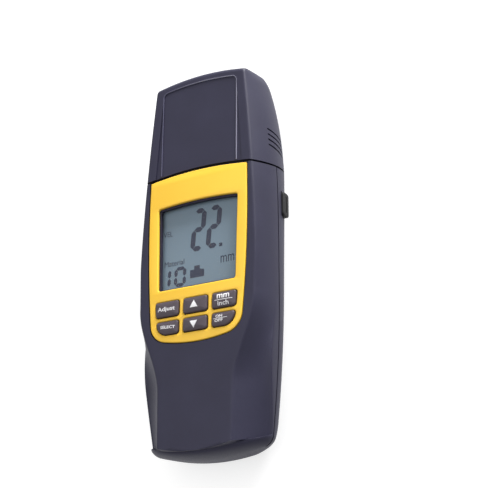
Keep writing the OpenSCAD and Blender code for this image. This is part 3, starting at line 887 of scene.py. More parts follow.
class Finishes:
    """The gauge's finishes, by the real material of each."""

    # ABS from a spark-eroded mould: matt charcoal with a fine even grain that catches small glints
    SHELL = Finish("abs_moulded_charcoal", "charcoal_plastic", "#2f2e41", "#262536", 0.5, specular=0.22, grain_mm=0.42)
    # The same ABS on the cap's bead, smoother and glossier: a thin line round the panel, coloured paler than the shell
    # as a painted highlight, and paler still on the right where the light falls
    TRIM = PaintedHighlightPlastic("abs_rubbed_charcoal", "charcoal_plastic", "#42415a", "#3a394f", 0.38, specular=0.4,
                         speckle=0.1)
    # The same ABS in satin yellow from a polished mould: smooth, with a soft wide highlight
    PLATE = Finish("abs_moulded_yellow", "yellow_plastic", "#fbcd47", "#f6c23a", 0.36, specular=0.3, grain_mm=0.6,
                   grain_depth_mm=0.003, speckle=0.1, drift_mm=40)
    # Black ABS of the inner mouldings: dull, so gaps read as dark lines; on the seam lip it is painted shade filling
    # the cap's gap
    INNER = Finish("abs_moulded_black", "black_plastic", "#1a191d", "#121215", 0.55)
    # Acrylic window over the display: clear and smooth
    WINDOW = ClearSheet("acrylic_clear", "clear_window", "#e8edf0", "#e8edf0", 0.05, ior=1.49, drift_mm=20)
    # Liquid crystal panel behind a polariser: grey-blue and silky, slightly darker in patches
    CRYSTAL = Finish("lcd_polariser_grey", "lcd_glass", "#758896", "#6a7c8b", 0.4, specular=0.15, grain_mm=0.25,
                     grain_depth_mm=0.001, speckle=0.15, drift_mm=25)
    # Switched-on liquid crystal: dark and flat
    SEGMENT = Finish("lcd_segment_dark", "lcd_glass", "#33374a", "#2d3143", 0.45, specular=0.1, grain_depth_mm=0.0,
                     speckle=0.05)
    # Conductive silicone of strips and mat: soft and dull
    ELASTOMER = Finish("silicone_conductive", "elastomer", "#b0a7a9", "#9a9193", 0.7)
    # Glass-epoxy board under green solder mask: smooth and glossy over a faint weave
    BOARD = Finish("epoxy_board_green", "board_laminate", "#2f6b45", "#25573a", 0.3, grain_mm=0.5)
    # Silicone rubber keys: warm dark grey, velvety
    KEY = Finish("silicone_key_grey", "key_rubber", "#4c434b", "#423a41", 0.52, specular=0.35, grain_mm=0.3,
                 grain_depth_mm=0.006)
    # Ink printed on the keys: flat white
    INK = Finish("print_ink_white", "key_rubber", "#f2f1f3", "#e6e5e8", 0.6, grain_depth_mm=0.0, speckle=0.05)
    # Black rubber of the port cover: dull, nearly without highlights
    RUBBER = Finish("rubber_black", "black_rubber", "#151518", "#0e0e10", 0.6, specular=0.3, grain_mm=0.5)
    # Cell jacket: painted steel, smooth grey
    CELL = Finish("steel_painted_grey", "cell_jacket", "#b4b7bb", "#a5a8ad", 0.35, grain_depth_mm=0.002)
    # Nickel-plated steel of screws and contacts: bright, slightly brushed
    NICKEL = TurnedMetal("steel_nickel_plated", "nickel_steel", "#c9cacc", "#b2b4b7", 0.28, 1.0)
    # Turned stainless steel of the probe: bright with fine lathe rings
    STEEL = TurnedMetal("stainless_turned", "turned_steel", "#c6c8cb", "#a9acb0", 0.3, 1.0, grain_depth_mm=0.02)
    # Brass of the sockets: warm and bright
    BRASS = TurnedMetal("brass_turned", "brass_socket", "#cfae5f", "#b3923f", 0.3, 1.0)


@dataclass
class FrontLayout:
    """Outlines that the faceplate, the display opening and the keys share."""

    form: HousingForm = field(default_factory=HousingForm)
    plate_t: float = 1.4
    plate_sunk: float = 1.2
    plate_half_w: float = 23.1
    plate_low_y: float = -37.6
    plate_gap: float = 0.45
    plate_side_r: float = 526.0
    plate_wide_y: float = 19.0
    plate_low_r: float = 70.0
    plate_corner: float = 8.0
    plate_short: float = 0.5
    half_room: Point2 = (30.0, 60.0)
    long_arc: int = 1440
    window_half_w: float = 18.8
    window_low_y: float = -14.2
    window_top_y: float = 23.5
    window_taper: float = 0.9
    window_r: float = 1.1
    window_arch: float = 1.1
    key_mid_w: float = 11.0
    key_outer_w: float = 10.9
    key_gap: float = 2.2
    key_rows: tuple[Point2, Point2] = ((-19.3, -25.7), (-27.7, -33.2))
    key_inset: float = 3.0
    key_round: float = 1.0
    run_gap: float = 0.3
    window_ledge: float = 0.7

    @property
    def seat_z(self) -> float:
        """Height of the faceplate's seat."""
        return self.form.depth - self.plate_sunk

    @property
    def plate_z(self) -> float:
        """Height of the faceplate's face."""
        return self.seat_z + self.plate_t

    @property
    def under_z(self) -> float:
        """Height of the underside of the front wall."""
        return self.form.depth - self.form.front_wall

    @cached_property
    def plate(self) -> Outline:
        """Faceplate: big arcs, with round corners below the middle.

        Returns:
            The outline.
        """
        top_r = -1 / (2 * self.form.seam_bow)
        reach = self.plate_side_r - self.plate_half_w
        x, y = self.half_room
        arcs = Outline.box(-x, -y, x, y)
        for disc in (
            Outline.disc(0, self.form.seam_y - self.plate_short - top_r, top_r),
            Outline.disc(-reach, self.plate_wide_y, self.plate_side_r, self.long_arc),
            Outline.disc(reach, self.plate_wide_y, self.plate_side_r, self.long_arc),
            Outline.disc(0, self.plate_low_y + self.plate_low_r, self.plate_low_r),
        ):
            arcs = arcs.meet(disc)
        low = arcs.rounded(self.plate_corner).meet(Outline.box(-x, -y, x, 0)).points
        top = arcs.meet(Outline.box(-x, 0, x, y)).points
        both = np.vstack([low, top])
        turn = np.arctan2(both[:, 1], both[:, 0])
        return Outline(both[np.argsort(turn)])

    @cached_property
    def window(self) -> Outline:
        """Display opening: sides that close in downwards, and an arched top.

        Returns:
            The outline.
        """
        w, k = self.window_half_w, self.window_taper
        low, top = self.window_low_y, self.window_top_y
        r = (w * w + self.window_arch**2) / (2 * self.window_arch)
        shape = Outline([(k - w, low), (w - k, low), (w, top), (-w, top)])
        return shape.meet(Outline.disc(0, top - r, r)).rounded(self.window_r)

    @cached_property
    def key_field(self) -> Outline:
        """Part of the faceplate that keys may fill."""
        return self.plate.inset(self.key_inset)

    def key(self, col: int, row: int) -> Outline:
        """One key, cut by the faceplate's own outline at the outer corners.

        Args:
            col, row: Its place, counted from the top left.
        Returns:
            The outline.
        """
        half, widths = self.key_mid_w / 2, (self.key_outer_w, self.key_mid_w, self.key_outer_w)
        starts = (-half - self.key_gap - self.key_outer_w, -half, half + self.key_gap)
        top, low = self.key_rows[row]
        shape = Outline.box(starts[col], low, starts[col] + widths[col], top)
        return shape.meet(self.key_field).rounded(self.key_round)

    @cached_property
    def keys(self) -> list[Outline]:
        """All six keys."""
        return [self.key(col, row) for row in range(2) for col in range(3)]


@dataclass
class Shells:
    """The two halves of the housing."""

    form: HousingForm
    layout: FrontLayout
    tail_wall: float = 3.0
    edge_from: float = 0.2
    edge_rows: int = 4
    front_rows: int = 110
    back_rows: int = 60
    screw_x: float = 18.5
    screw_ys: Point2 = (31.0, -19.885)
    sink_r: float = 2.35
    sink_over: float = 1.0
    seat_z: float = 9.0
    boss_r: float = 3.4
    boss_low: float = 1.0
    boss_gap: float = 0.1
    shank_r: float = 1.35
    shank_l: float = 16.0
    round_count: int = 72
    neck_half_w: float = 12.65
    neck_low: float = 5.85
    neck_top: float = 22.65
    neck_in: float = 6.2
    neck_out: float = 8.0
    mouth_in: float = 6.5
    mouth_out: float = 6.0
    key_way: float = 6.0
    overrun: float = 2.0
    inner_step: int = 6
    inner_over: float = 1.0
    bay: tuple[Point3, Point3] = ((-21.7, -73.385, 2.2), (21.7, -23.885, 13.5))
    bay_wall: float = 1.3
    bay_skin: float = 1.0
    bay_floor: float = 1.1
    door_gap: float = 0.3
    port_y: float = 22.6
    port_z: float = 9.2
    port_w: float = 10.6
    port_h: float = 5.0
    port_sunk: float = 2.5
    port_gap: float = 0.3
    port_out: float = 4.0
    jack: Point3 = (5.4, 3.8, 2.1)
    lip_in: float = 0.8
    lip_under: float = 3.0
    lip_sunk: float = 0.5
    lip_out: float = 0.55
    lip_rows: int = 3

    def stations(self) -> list[float]:
        """Stations of the body, closer together round the bottom lip.

        Returns:
            Stations from the bottom end to the seam.
        """
        f = self.form
        lip = [f.lip_y - (f.lip_y - f.tail_y) * math.sin(math.radians(a)) for a in range(90, -1, -5)]
        edge = steps(f.lip_y + f.step_w * self.edge_from, f.lip_y + f.step_w, self.edge_rows)
        return lip + edge + steps(f.lip_y + f.step_w, f.seam_y, self.front_rows)[1:]

    def inner_rows(self, rows: Sequence[float]) -> list[float]:
        """Stations of the inside: a few of the outside's, drawn in between the end walls.

        Args:
            rows: Stations of the outside.
        Returns:
            Stations of the inside.
        """
        f = self.form
        run = f.seam_y - f.tail_y
        few = [*rows[:: self.inner_step], rows[-1]]
        return [mix(f.tail_y + self.tail_wall, f.seam_y - f.wall, (s - f.tail_y) / run) for s in few]

    def neck_cutter(self) -> Object:
        """Cutter for the opening that the neck passes through."""
        w, y = self.neck_half_w, self.form.seam_y
        return block("neck_cut", (-w, y - self.neck_in, self.neck_low), (w, y + self.neck_out, self.neck_top))

    def front(self) -> Object:
        """Front half with the faceplate's seat, the display opening and the key holes.

        Returns:
            The shell.
        """
        f, lay = self.form, self.layout
        rows = self.stations()
        shell = half_solid("front_moulding", f, rows, lambda s: f.rebated(f.front_half(s, 0, 0), True), f.parting_z,
                           front=True)
        carve(shell, half_solid("front_hollow", f, self.inner_rows(rows),
                                lambda s: f.front_half(s, f.wall, f.front_wall), f.parting_z - self.inner_over,
                                front=True))
        carve(shell, self.neck_cutter())
        over = f.depth + self.overrun
        carve(shell, prism("plate_seat", lay.plate.grow(lay.plate_gap), lay.seat_z, over))
        reach = lay.plate_half_w + lay.plate_gap
        carve(shell, block("plate_mouth", (-reach, f.seam_y - self.mouth_in, lay.seat_z),
                           (reach, f.seam_y + self.mouth_out, over)))
        carve(shell, prism("display_cut", lay.window.inset(lay.window_ledge), f.parting_z, f.depth))
        for k, outline in enumerate(lay.keys):
            carve(shell, prism(f"key_cut_{k}", outline.grow(lay.run_gap), f.parting_z + self.key_way, f.depth))
        return shade(shell)

    def rear_rows(self) -> list[float]:
        """Stations of the back, closer together round its heel.

        Returns:
            Stations from the bottom end to the seam.
        """
        f = self.form
        heel = [f.tail_y + f.end_l * (1 - math.sin(math.radians(a))) for a in range(90, 0, -3)]
        return heel + steps(f.tail_y + f.end_l, f.seam_y, self.back_rows)

    def rear(self) -> Object:
        """Rear half with the battery bay, the door's slot, the screw sinks and the port.

        Returns:
            The shell.
        """
        f = self.form
        rows = self.rear_rows()
        shell = half_solid("rear_moulding", f, rows, lambda s: f.rebated(f.back_half(s, 0), False), f.parting_z)
        carve(shell, half_solid("rear_hollow", f, self.inner_rows(rows), lambda s: f.back_half(s, f.wall),
                                f.parting_z + self.inner_over))
        (x0, y0, z0), (x1, y1, z1) = self.bay
        wall = self.bay_wall
        outside = block("bay_outside", (x0 - wall, y0 - wall, 0), (x1 + wall, y1 + wall, z1 + wall))
        carve(shell, carve(back_solid("bay_skin", f, rows, self.bay_skin), outside, how=Cut.KEEP), how=Cut.JOIN)
        screws = [(x, y) for x in (-self.screw_x, self.screw_x) for y in self.screw_ys]
        for x, y in screws:
            height = f.parting_z - self.boss_low - self.boss_gap
            carve(shell, rod("sink_boss", (x, y, self.boss_low), self.boss_r, height), how=Cut.JOIN)
        room = block("bay_room", (x0, y0, z0), (x1, y1, z1))
        carve(shell, carve(back_solid("bay_inside", f, rows, self.bay_floor), room, how=Cut.KEEP))
        slot = DoorSlot()
        carve(shell, slot.face("door_way", self.door_gap), slot.flange("flange_way", f, rows, self.door_gap))
        for x, y in screws:
            over = self.sink_over
            carve(shell, rod("sink", (x, y, -over), self.sink_r, self.seat_z + over, self.round_count),
                  rod("shank_way", (x, y, 0), self.shank_r, self.shank_l, self.round_count))
        lid_w, lid_h = self.port_w / 2 + self.port_gap, self.port_h / 2 + self.port_gap
        carve(shell, self.port_cutter("port_cut", self.port_sunk, lid_w, lid_h))
        carve(shell, self.port_cutter("jack_cut", *self.jack))
        carve(shell, self.neck_cutter())
        return shade(shell)

    def port_cutter(self, name: str, depth: float, half_w: float, half_h: float) -> Object:
        """Cutter through the right wall at the side port, to a depth."""
        x, y, z = self.form.side(self.port_y), self.port_y, self.port_z
        return block(name, (x - depth, y - half_w, z - half_h), (x + self.port_out, y + half_w, z + half_h))

    def seam_lip(self) -> Object:
        """Black lip in the cap's seam: a dark piece just under the surface that stands in for the shade inside the gap.

        Returns:
            The lip.
        """
        f = self.form
        rows = steps(f.seam_y - self.lip_sunk, f.seam_y + self.lip_out, self.lip_rows)
        return full_solid("seam_lip", f, rows, self.lip_in, self.lip_under)

    def build(self) -> None:
        """Makes and dresses both halves and the lip between them and the cap."""
        settle(self.front(), Body.HOUSING, Finishes.SHELL, "front_shell")
        settle(self.rear(), Body.HOUSING, Finishes.SHELL, "rear_shell")
        # The seam lip is a black piece that paints the shade inside the cap's gap
        settle(shade(self.seam_lip()), Body.HOUSING, Finishes.INNER)


@dataclass
class DoorSlot:
    """The battery door's way in the back: a flange above a narrower face."""

    half_w: float = 18.3
    lip: float = 1.0
    lip_z: float = 1.2
    thick: float = 2.2
    skin: float = 0.6
    tuck: float = 0.02
    below: float = 1.0
    low_y: float = -86.0
    top_y: float = -22.885

    def face(self, name: str, grow: float) -> Object:
        """Bar of the face, with a clearance round it."""
        w = self.half_w + grow
        return block(name, (-w, self.low_y, -self.below), (w, self.top_y + grow, self.thick + grow))

    def flange(self, name: str, form: HousingForm, rows: Sequence[float], grow: float) -> Object:
        """Bar of the flange, kept under the skin of the back.

        Args:
            name: Piece name. form, rows: Housing and stations of its back. grow: Clearance round the bar.
        Returns:
            The bar.
        """
        w = self.half_w + self.lip + grow
        room = block("flange_room", (-w, self.low_y, self.lip_z - grow),
                     (w, self.top_y + grow - self.tuck, self.thick + grow - self.tuck))
        return carve(back_solid(name, form, rows, self.skin - grow / 3), room, how=Cut.KEEP)


@dataclass
class Cap:
    """Pull-off cap with its inset panel and the grip grooves on both sides."""

    form: HousingForm
    plain_rows: int = 44
    roof: float = 2.6
    panel_depth: float = 0.5
    panel_border: float = 3.7
    panel_corner: float = 2.5
    groove_ys: tuple[float, ...] = (46.2, 48.7, 51.2, 53.7)
    groove_w: float = 0.8
    groove_depth: float = 0.6
    groove_low: float = 6.0
    groove_top: float = 20.5
    groove_r: float = 22.0
    groove_tool: float = 3.0
    bead_r: float = 0.28
    bead_run: float = 0.5
    panel_run: float = 12.0
    arch_steps: int = 24
    inner_step: int = 4
    inner_over: float = 1.0
    nose_over: float = 2.0

    def stations(self) -> list[float]:
        """Stations of the cap, closer together round its top.

        Returns:
            Stations from the lower edge to the top.
        """
        f = self.form
        start = f.nose_y - f.nose_corner
        turn = [start + f.nose_corner * math.sin(math.radians(a)) for a in range(3, 90, 3)]
        edge = [f.nose_y - f.nose_round * (1 - math.sin(math.radians(a))) for a in range(40, 90, 8)]
        return sorted(set(steps(f.cap_low, start, self.plain_rows) + turn + edge + [f.nose_y]))

    def panel(self) -> Outline:
        """Outline of the inset panel, which runs out over the lower edge.

        Returns:
            The outline.
        """
        f = self.form
        low, top = f.ridge(f.cap_low) - self.panel_border, f.cap_half_w - self.panel_border
        n, foot = self.arch_steps, f.cap_low - self.panel_run
        xs = [top * k / n for k in range(n, -n - 1, -1)]
        arch = [(x, f.bent_y(f.nose_y, x, f.depth) - self.panel_border) for x in xs]
        return Outline([(-low, foot), (low, foot), *arch]).rounded(self.panel_corner)

    def grooves(self, side: int) -> Object:
        """Cutter of one side's grip grooves.

        Args:
            side: 1 for the right, -1 for the left.
        Returns:
            The cutter.
        """
        f, ys = self.form, self.groove_ys
        first, last = f.side(ys[0]) - self.groove_r, f.side(ys[-1]) - self.groove_r
        count = len(ys)
        step = (side * (last - first) / (count - 1), (ys[-1] - ys[0]) / (count - 1), 0.0)
        arc = [math.degrees(math.asin((z - f.parting_z) / self.groove_r)) for z in (self.groove_low, self.groove_top)]
        return groove_row(f"grip_grooves_{side}", (side * first, ys[0], f.parting_z), step, count,
                          self.groove_r - self.groove_depth + self.groove_tool / 2, (arc[0], arc[1]),
                          self.groove_w, self.groove_tool, 0.0 if side > 0 else math.pi)

    def build(self) -> None:
        """Makes and dresses the cap."""
        f = self.form
        rows = self.stations()
        cap = full_solid("cap_moulding", f, rows, 0, 0)
        few = [*rows[:: self.inner_step], rows[-1]]
        inner = [mix(f.cap_low, f.nose_y - self.roof, (s - f.cap_low) / (f.nose_y - f.cap_low)) for s in few]
        inner[0] -= self.inner_over
        carve(cap, full_solid("cap_hollow", f, inner, f.wall, f.wall))
        carve(cap, prism("panel_cut", self.panel(), f.depth - self.panel_depth, f.depth + self.nose_over))
        for side in (-1, 1):
            carve(cap, self.grooves(side))
        settle(shade(cap), Body.CAP, Finishes.SHELL, "probe_cap")
        # The bead is coloured paler than the cap, paler still on the right: a painted highlight
        bead = path_bead("panel_bead", self.panel(), f.depth - self.panel_depth / 2, self.bead_r,
                         f.cap_low - self.bead_run)
        settle(shade(bead), Body.CAP, Finishes.TRIM)


class Repeat:
    """A node tree that repeats or sweeps a shape, with named inputs for its sizes."""

    KINDS = {float: "NodeSocketFloat", int: "NodeSocketInt", tuple: "NodeSocketVector",
             bpy.types.Material: "NodeSocketMaterial", Object: "NodeSocketObject"}

    def __init__(self, name: str, finish: Finish, sizes: dict[str, Any]) -> None:
        """Starts the tree with one input for each named size and one for the finish.

        Args:
            name: Of tree and piece. finish: What it is dressed in. sizes: Value of each named input.
        """
        self.name = name
        self.values = {**sizes, "Finish": finish.material()}
        self.tree = bpy.data.node_groups.new(name, "GeometryNodeTree")
        self.tree.interface.new_socket("Geometry", in_out="OUTPUT", socket_type="NodeSocketGeometry")
        self.keys = {}
        for key, value in self.values.items():
            kind = next(k for t, k in self.KINDS.items() if isinstance(value, t))
            self.keys[key] = self.tree.interface.new_socket(key, in_out="INPUT", socket_type=kind).identifier
        self.source = self.tree.nodes.new("NodeGroupInput")

    def add(self, kind: str, inputs: dict[str, Any] | None = None, **settings: Any) -> Socket:
        """Adds a node to the tree.

        Args:
            kind: Node type. inputs: Value, output socket or name of the tree's own input. settings: Node properties.
        Returns:
            The node's output.
        """
        given = {k: self.source.outputs[v] if isinstance(v, str) else v for k, v in (inputs or {}).items()}
        return add_node(self.tree, kind, given, **settings)

    def row(self, shape: Socket) -> Socket:
        """Copies of a shape along a line, by the tree's inputs Start, Step and Count."""
        line = self.add("GeometryNodeMeshLine", {"Count": "Count", "Start Location": "Start", "Offset": "Step"})
        return self.add("GeometryNodeInstanceOnPoints", {"Points": line, "Instance": shape})

    def make(self, shape: Socket) -> Object:
        """Ends the tree at a shape and bakes it into a plain mesh.

        Args:
            shape: Geometry to realise.
        Returns:
            The object, without its modifier.
        """
        end = self.tree.nodes.new("NodeGroupOutput")
        real = self.add("GeometryNodeRealizeInstances", {"Geometry": shape})
        self.add("GeometryNodeSetMaterial", {"Geometry": real, "Material": "Finish"}, into=end.inputs[0])
        obj = mesh_object(self.name, [], [])
        tool = obj.modifiers.new(self.name, "NODES")
        tool.node_group = self.tree
        for key, value in self.values.items():
            tool[self.keys[key]] = value
        bake(obj)
        mend(obj.data)
        return obj


def groove_row(name: str, start: Point3, step: Point3, count: int, radius: float, arc: Point2, width: float,
               thick: float, turn: float) -> Object:
    """Curved bars in planes across Y, repeated along a line.

    Args:
        name: Piece name. start, step: Middle of the first arc, and the way to the next. count: Bars.
        radius: Middle radius of a bar. arc: Its first and last angle from X. width, thick: Its section. turn: About Z.
    Returns:
        The bars as one mesh.
    """
    rep = Repeat(name, Finishes.SHELL, {
        "Start": metres(start), "Step": metres(step), "Count": count, "Radius": radius * MM,
        "From": math.radians(arc[0]), "Sweep": math.radians(arc[1] - arc[0]), "Width": width * MM,
        "Thick": thick * MM, "Turn": (0.0, 0.0, turn)})
    bend = rep.add("GeometryNodeCurveArc", {"Resolution": FINE, "Radius": "Radius", "Start Angle": "From",
                                            "Sweep Angle": "Sweep"})
    section = rep.add("GeometryNodeCurvePrimitiveQuadrilateral", {"Width": "Thick", "Height": "Width"})
    bar = rep.add("GeometryNodeCurveToMesh", {"Curve": bend, "Profile Curve": section, "Fill Caps": True})
    upright = rep.add("GeometryNodeTransform", {"Geometry": bar, "Rotation": (math.pi / 2, 0.0, 0.0)})
    facing = rep.add("GeometryNodeTransform", {"Geometry": upright, "Rotation": "Turn"})
    return rep.make(rep.row(facing))


def path_bead(name: str, outline: Outline, z: float, radius: float, low_y: float) -> Object:
    """A round bead along the part of an outline above a line across.

    Args:
        name: Piece name. outline: Path. z: Its height. radius: Of the bead. low_y: Where the path's open ends lie.
    Returns:
        The bead.
    """
    points = outline.points
    turn = int(np.argmin(points[:, 1] - points[:, 0] * 1e-3))
    run = [p for p in np.roll(points, -turn, 0) if p[1] > low_y]
    first, last = run[0][0], run[-1][0]
    path = [(first, low_y), *run, (last, low_y)]
    line = bpy.data.meshes.new(f"{name}_path")
    line.from_pydata([(x * MM, y * MM, z * MM) for x, y in path], [(k, k + 1) for k in range(len(path) - 1)], [])
    guide = linked(f"{name}_path", line)
    rep = Repeat(name, Finishes.SHELL, {"Path": guide, "Radius": radius * MM})
    taken = rep.add("GeometryNodeObjectInfo", {"Object": "Path"}, out="Geometry")
    curve = rep.add("GeometryNodeMeshToCurve", {"Mesh": taken})
    section = rep.add("GeometryNodeCurvePrimitiveCircle", {"Resolution": 12, "Radius": "Radius"})
    bead = rep.make(rep.add("GeometryNodeCurveToMesh", {"Curve": curve, "Profile Curve": section, "Fill Caps": True}))
    bpy.data.objects.remove(guide)
    return bead


def plate_solid(name: str, outlines: Sequence[Outline], low: float, top: float, bevel: float) -> Object:
    """A flat plate with holes and rounded edges, from a filled curve.

    Args:
        name: Piece name. outlines: Outer edge, then holes. low, top: Heights. bevel: Radius of all edges.
    Returns:
        The plate as a mesh.
    """
    data = bpy.data.curves.new(name, "CURVE")
    data.dimensions, data.fill_mode = "2D", "BOTH"
    data.extrude = ((top - low) / 2 - bevel) * MM
    data.bevel_depth, data.bevel_resolution, data.offset = bevel * MM, 3, -bevel * MM
    for outline in outlines:
        spline = data.splines.new("POLY")
        spline.points.add(len(outline.points) - 1)
        for point, (x, y) in zip(spline.points, outline.points):
            point.co = (x * MM, y * MM, 0, 1)
        spline.use_cyclic_u = True
    return curve_mesh(data, Matrix.Translation((0, 0, (low + top) / 2 * MM)))


def curve_mesh(data: bpy.types.Curve, place: Matrix) -> Object:
    """Turns a filled curve or a text into a mesh object at its place, with its faces turned outwards.

    Args:
        data: Curve or text, which is used up. place: Where it goes.
    Returns:
        The mesh object.
    """
    source, name = linked(data.name, data), data.name
    mesh = plain_mesh(source)
    bpy.data.objects.remove(source)
    bpy.data.curves.remove(data)
    mesh.transform(place)
    mend(mesh, solid=True)
    mesh.name = name
    return linked(name, mesh)


def merge(name: str, parts: Sequence[Object]) -> Object:
    """Joins the meshes of several objects into one and removes them.

    Args:
        name: Piece name. parts: Objects to join.
    Returns:
        The joined object.
    """
    work = bmesh.new()
    for part in parts:
        work.from_mesh(part.data)
        bpy.data.objects.remove(part)
    data = bpy.data.meshes.new(name)
    work.to_mesh(data)
    work.free()
    return linked(name, data)


def refine(obj: Object, step: float) -> Object:
    """Splits a mesh's edges until none is longer than a step, so that it can follow a curved top.

    Args:
        obj: Object to change. step: Longest edge.
    Returns:
        The same object.
    """
    work = bmesh.new()
    work.from_mesh(obj.data)
    for _ in range(MOST_SPLITS):
        bmesh.ops.triangulate(work, faces=work.faces)
        long = [edge for edge in work.edges if edge.calc_length() > step * MM]
        if not long:
            break
        bmesh.ops.subdivide_edges(work, edges=long, cuts=1)
    bmesh.ops.triangulate(work, faces=work.faces)
    work.to_mesh(obj.data)
    work.free()
    return obj


def mark(name: str, points: Sequence[Point2]) -> Object:
    """A thin flat polygon centred on height zero."""
    return prism(name, Outline(points), -MARK_T / 2, MARK_T / 2)


def lettering(name: str, text: str, centre: Point2, size: Point2, tilt: float = 0.0,
              bold: float = 0.0) -> Object:
    """A word as a thin flat solid, fitted into a box centred on height zero.

    Args:
        name: Piece name. text: Word. centre, size: Box of the word. tilt: Turn in degrees.
        bold: Extra weight of the strokes.
    Returns:
        The word.
    """
    data = bpy.data.curves.new(name, "FONT")
    data.body, data.extrude, data.offset, data.resolution_u = text, 0.02, bold, 3
    obj = curve_mesh(data, Matrix.Identity(4))
    points = np.array([v.co for v in obj.data.vertices])
    low, top = points.min(0), points.max(0)
    fit = Matrix.Diagonal((*(s * MM / r for s, r in zip((*size, MARK_T), top - low)), 1))
    turn = Matrix.Rotation(math.radians(tilt), 4, "Z")
    place = Matrix.Translation((centre[0] * MM, centre[1] * MM, 0))
    obj.data.transform(place @ turn @ fit @ Matrix.Translation(-(low + top) / 2))
    return obj


@dataclass
class Faceplate:
    """Yellow plate, and the clear window behind its opening."""

    layout: FrontLayout
    edge_r: float = 0.45
    lens_t: float = 1.1
    lens_edge: float = 0.1
    margin: float = 1.1
    crisp: float = 40.0

    def build(self) -> None:
        """Makes the plate and the clear window."""
        lay = self.layout
        holes = [o.grow(lay.run_gap) for o in lay.keys]
        plate = plate_solid("face_plate", [lay.plate, lay.window, *holes], lay.seat_z, lay.plate_z, self.edge_r)
        settle(shade(plate, self.crisp), Body.HOUSING, Finishes.PLATE, "faceplate")
        low = lay.under_z - self.lens_t
        lens = plate_solid("window_pane", [lay.window.grow(self.margin)], low, lay.under_z, self.lens_edge)
        settle(shade(lens, self.crisp), Body.HOUSING, Finishes.WINDOW, "display_window")


@dataclass
class Keypad:
    """Six pillow-topped keys with printed legends."""

    layout: FrontLayout
    proud: float = 1.1
    ink_room: float = 0.06
    ink_step: float = 0.7
    edge_r: float = 0.75
    crown: float = 0.35
    low_z: float = 26.6
    crisp: float = 50.0
    ring_count: int = 120
    edge_steps: int = 6

    NAMES = (("adjust", Body.ADJUST), ("up", Body.UP), ("unit", Body.UNIT), ("select", Body.SELECT),
             ("down", Body.DOWN), ("power", Body.POWER))
    CROWN_SHARES = (0.94, 0.86, 0.74, 0.6, 0.42, 0.22)
    CROWN_POWER = 3

    @property
    def top_z(self) -> float:
        """Height of a crown's highest point."""
        return self.layout.plate_z + self.proud - self.ink_room

    def crest(self, outline: Outline) -> Callable[[float, float], float]:
        """Rule for the height of a key's crowned top.

        Args:
            outline: Plan of the key.
        Returns:
            Height at a place in the plan.
        """
        even = outline.even(self.ring_count)
        centre = even.points.mean(0)
        rim = Outline(even.pulled(self.edge_r)).edges()
        edges = [(inward, float((centre - start) @ inward)) for start, inward in rim]

        def height(x: float, y: float) -> float:
            """Height at one place.

            Args:
                x, y: Place in the plan.
            Returns:
                The height.
            """
            away = np.array((x, y)) - centre
            share = max(0.0, *(-float(inward @ away) / reach for inward, reach in edges))
            return self.top_z - self.crown * share**self.CROWN_POWER

        return height

    def pillow(self, name: str, outline: Outline) -> Object:
        """One key: straight wall, rounded edge and a crowned top.

        Args:
            name: Piece name. outline: Plan of the key.
        Returns:
            The key.
        """
        even = outline.even(self.ring_count)
        centre = even.points.mean(0)
        top, r = self.top_z, self.edge_r
        rings = [(even.points, self.low_z), (even.points, top - self.crown - r)]
        for k in range(1, self.edge_steps + 1):
            a = math.pi / 2 * k / self.edge_steps
            rings.append((even.pulled(r * (1 - math.cos(a))), top - self.crown - r * (1 - math.sin(a))))
        last = rings[-1][0]
        for q in self.CROWN_SHARES:
            rings.append((centre + (last - centre) * q, top - self.crown * q**self.CROWN_POWER))
        n = len(even.points)
        points = [(x, y, z) for ring, z in rings for x, y in ring] + [(*centre, top)]
        faces: list[Sequence[int]] = [range(n)]
        for j in range(len(rings) - 1):
            faces += [(j * n + i, j * n + (i + 1) % n, (j + 1) * n + (i + 1) % n, (j + 1) * n + i) for i in range(n)]
        end = (len(rings) - 1) * n
        faces += [(end + i, end + (i + 1) % n, len(points) - 1) for i in range(n)]
        return mesh_object(name, points, faces)

    def build(self) -> None:
        """Makes and dresses the keys and lays the legends on their crowns."""
        legends = self.legends()
        for (name, body), outline in zip(self.NAMES, self.layout.keys):
            settle(shade(self.pillow(f"{name}_pad", outline), self.crisp), body, Finishes.KEY, f"key_{name}")
            height = self.crest(outline)
            ink = refine(merge(f"{name}_legend", legends[body]), self.ink_step)
            for vertex in ink.data.vertices:
                vertex.co.z += (height(vertex.co.x / MM, vertex.co.y / MM) + self.ink_room / 2) * MM
            settle(ink, body, Finishes.INK)

    def legends(self) -> dict[Body, list[Object]]:
        """Marks of each key, lying flat at height zero.

        Returns:
            Marks for the body of each key.
        """
        return {
            Body.ADJUST: [lettering("adjust_word", "Adjust", (-13.1, -22.8), (8.0, 2.3), bold=0.014)],
            Body.UP: [mark("up_arrow", [(-2.0, -23.8), (1.6, -23.8), (-0.2, -20.8)])],
            Body.UNIT: [lettering("mm_word", "mm", (13.1, -21.2), (5.6, 1.75), bold=0.016),
                        mark("unit_rule", [(9.2, -22.78), (17.2, -22.78), (17.2, -22.55), (9.2, -22.55)]),
                        lettering("inch_word", "inch", (13.1, -24.1), (4.9, 1.8), bold=0.01)],
            Body.SELECT: [lettering("select_word", "SELECT", (-12.2, -30.35), (6.8, 1.25), tilt=-4.0, bold=0.02)],
            Body.DOWN: [mark("down_arrow", [(-0.2, -32.4), (1.5, -29.4), (-1.9, -29.4)])],
            Body.POWER: [lettering("on_word", "ON", (11.3, -29.35), (3.0, 1.15), bold=0.02),
                         mark("power_rule", [(8.7, -30.3), (15.0, -30.3), (15.0, -30.12), (8.7, -30.12)]),
                         lettering("off_word", "OFF", (11.2, -31.1), (3.7, 1.2), bold=0.02)],
        }


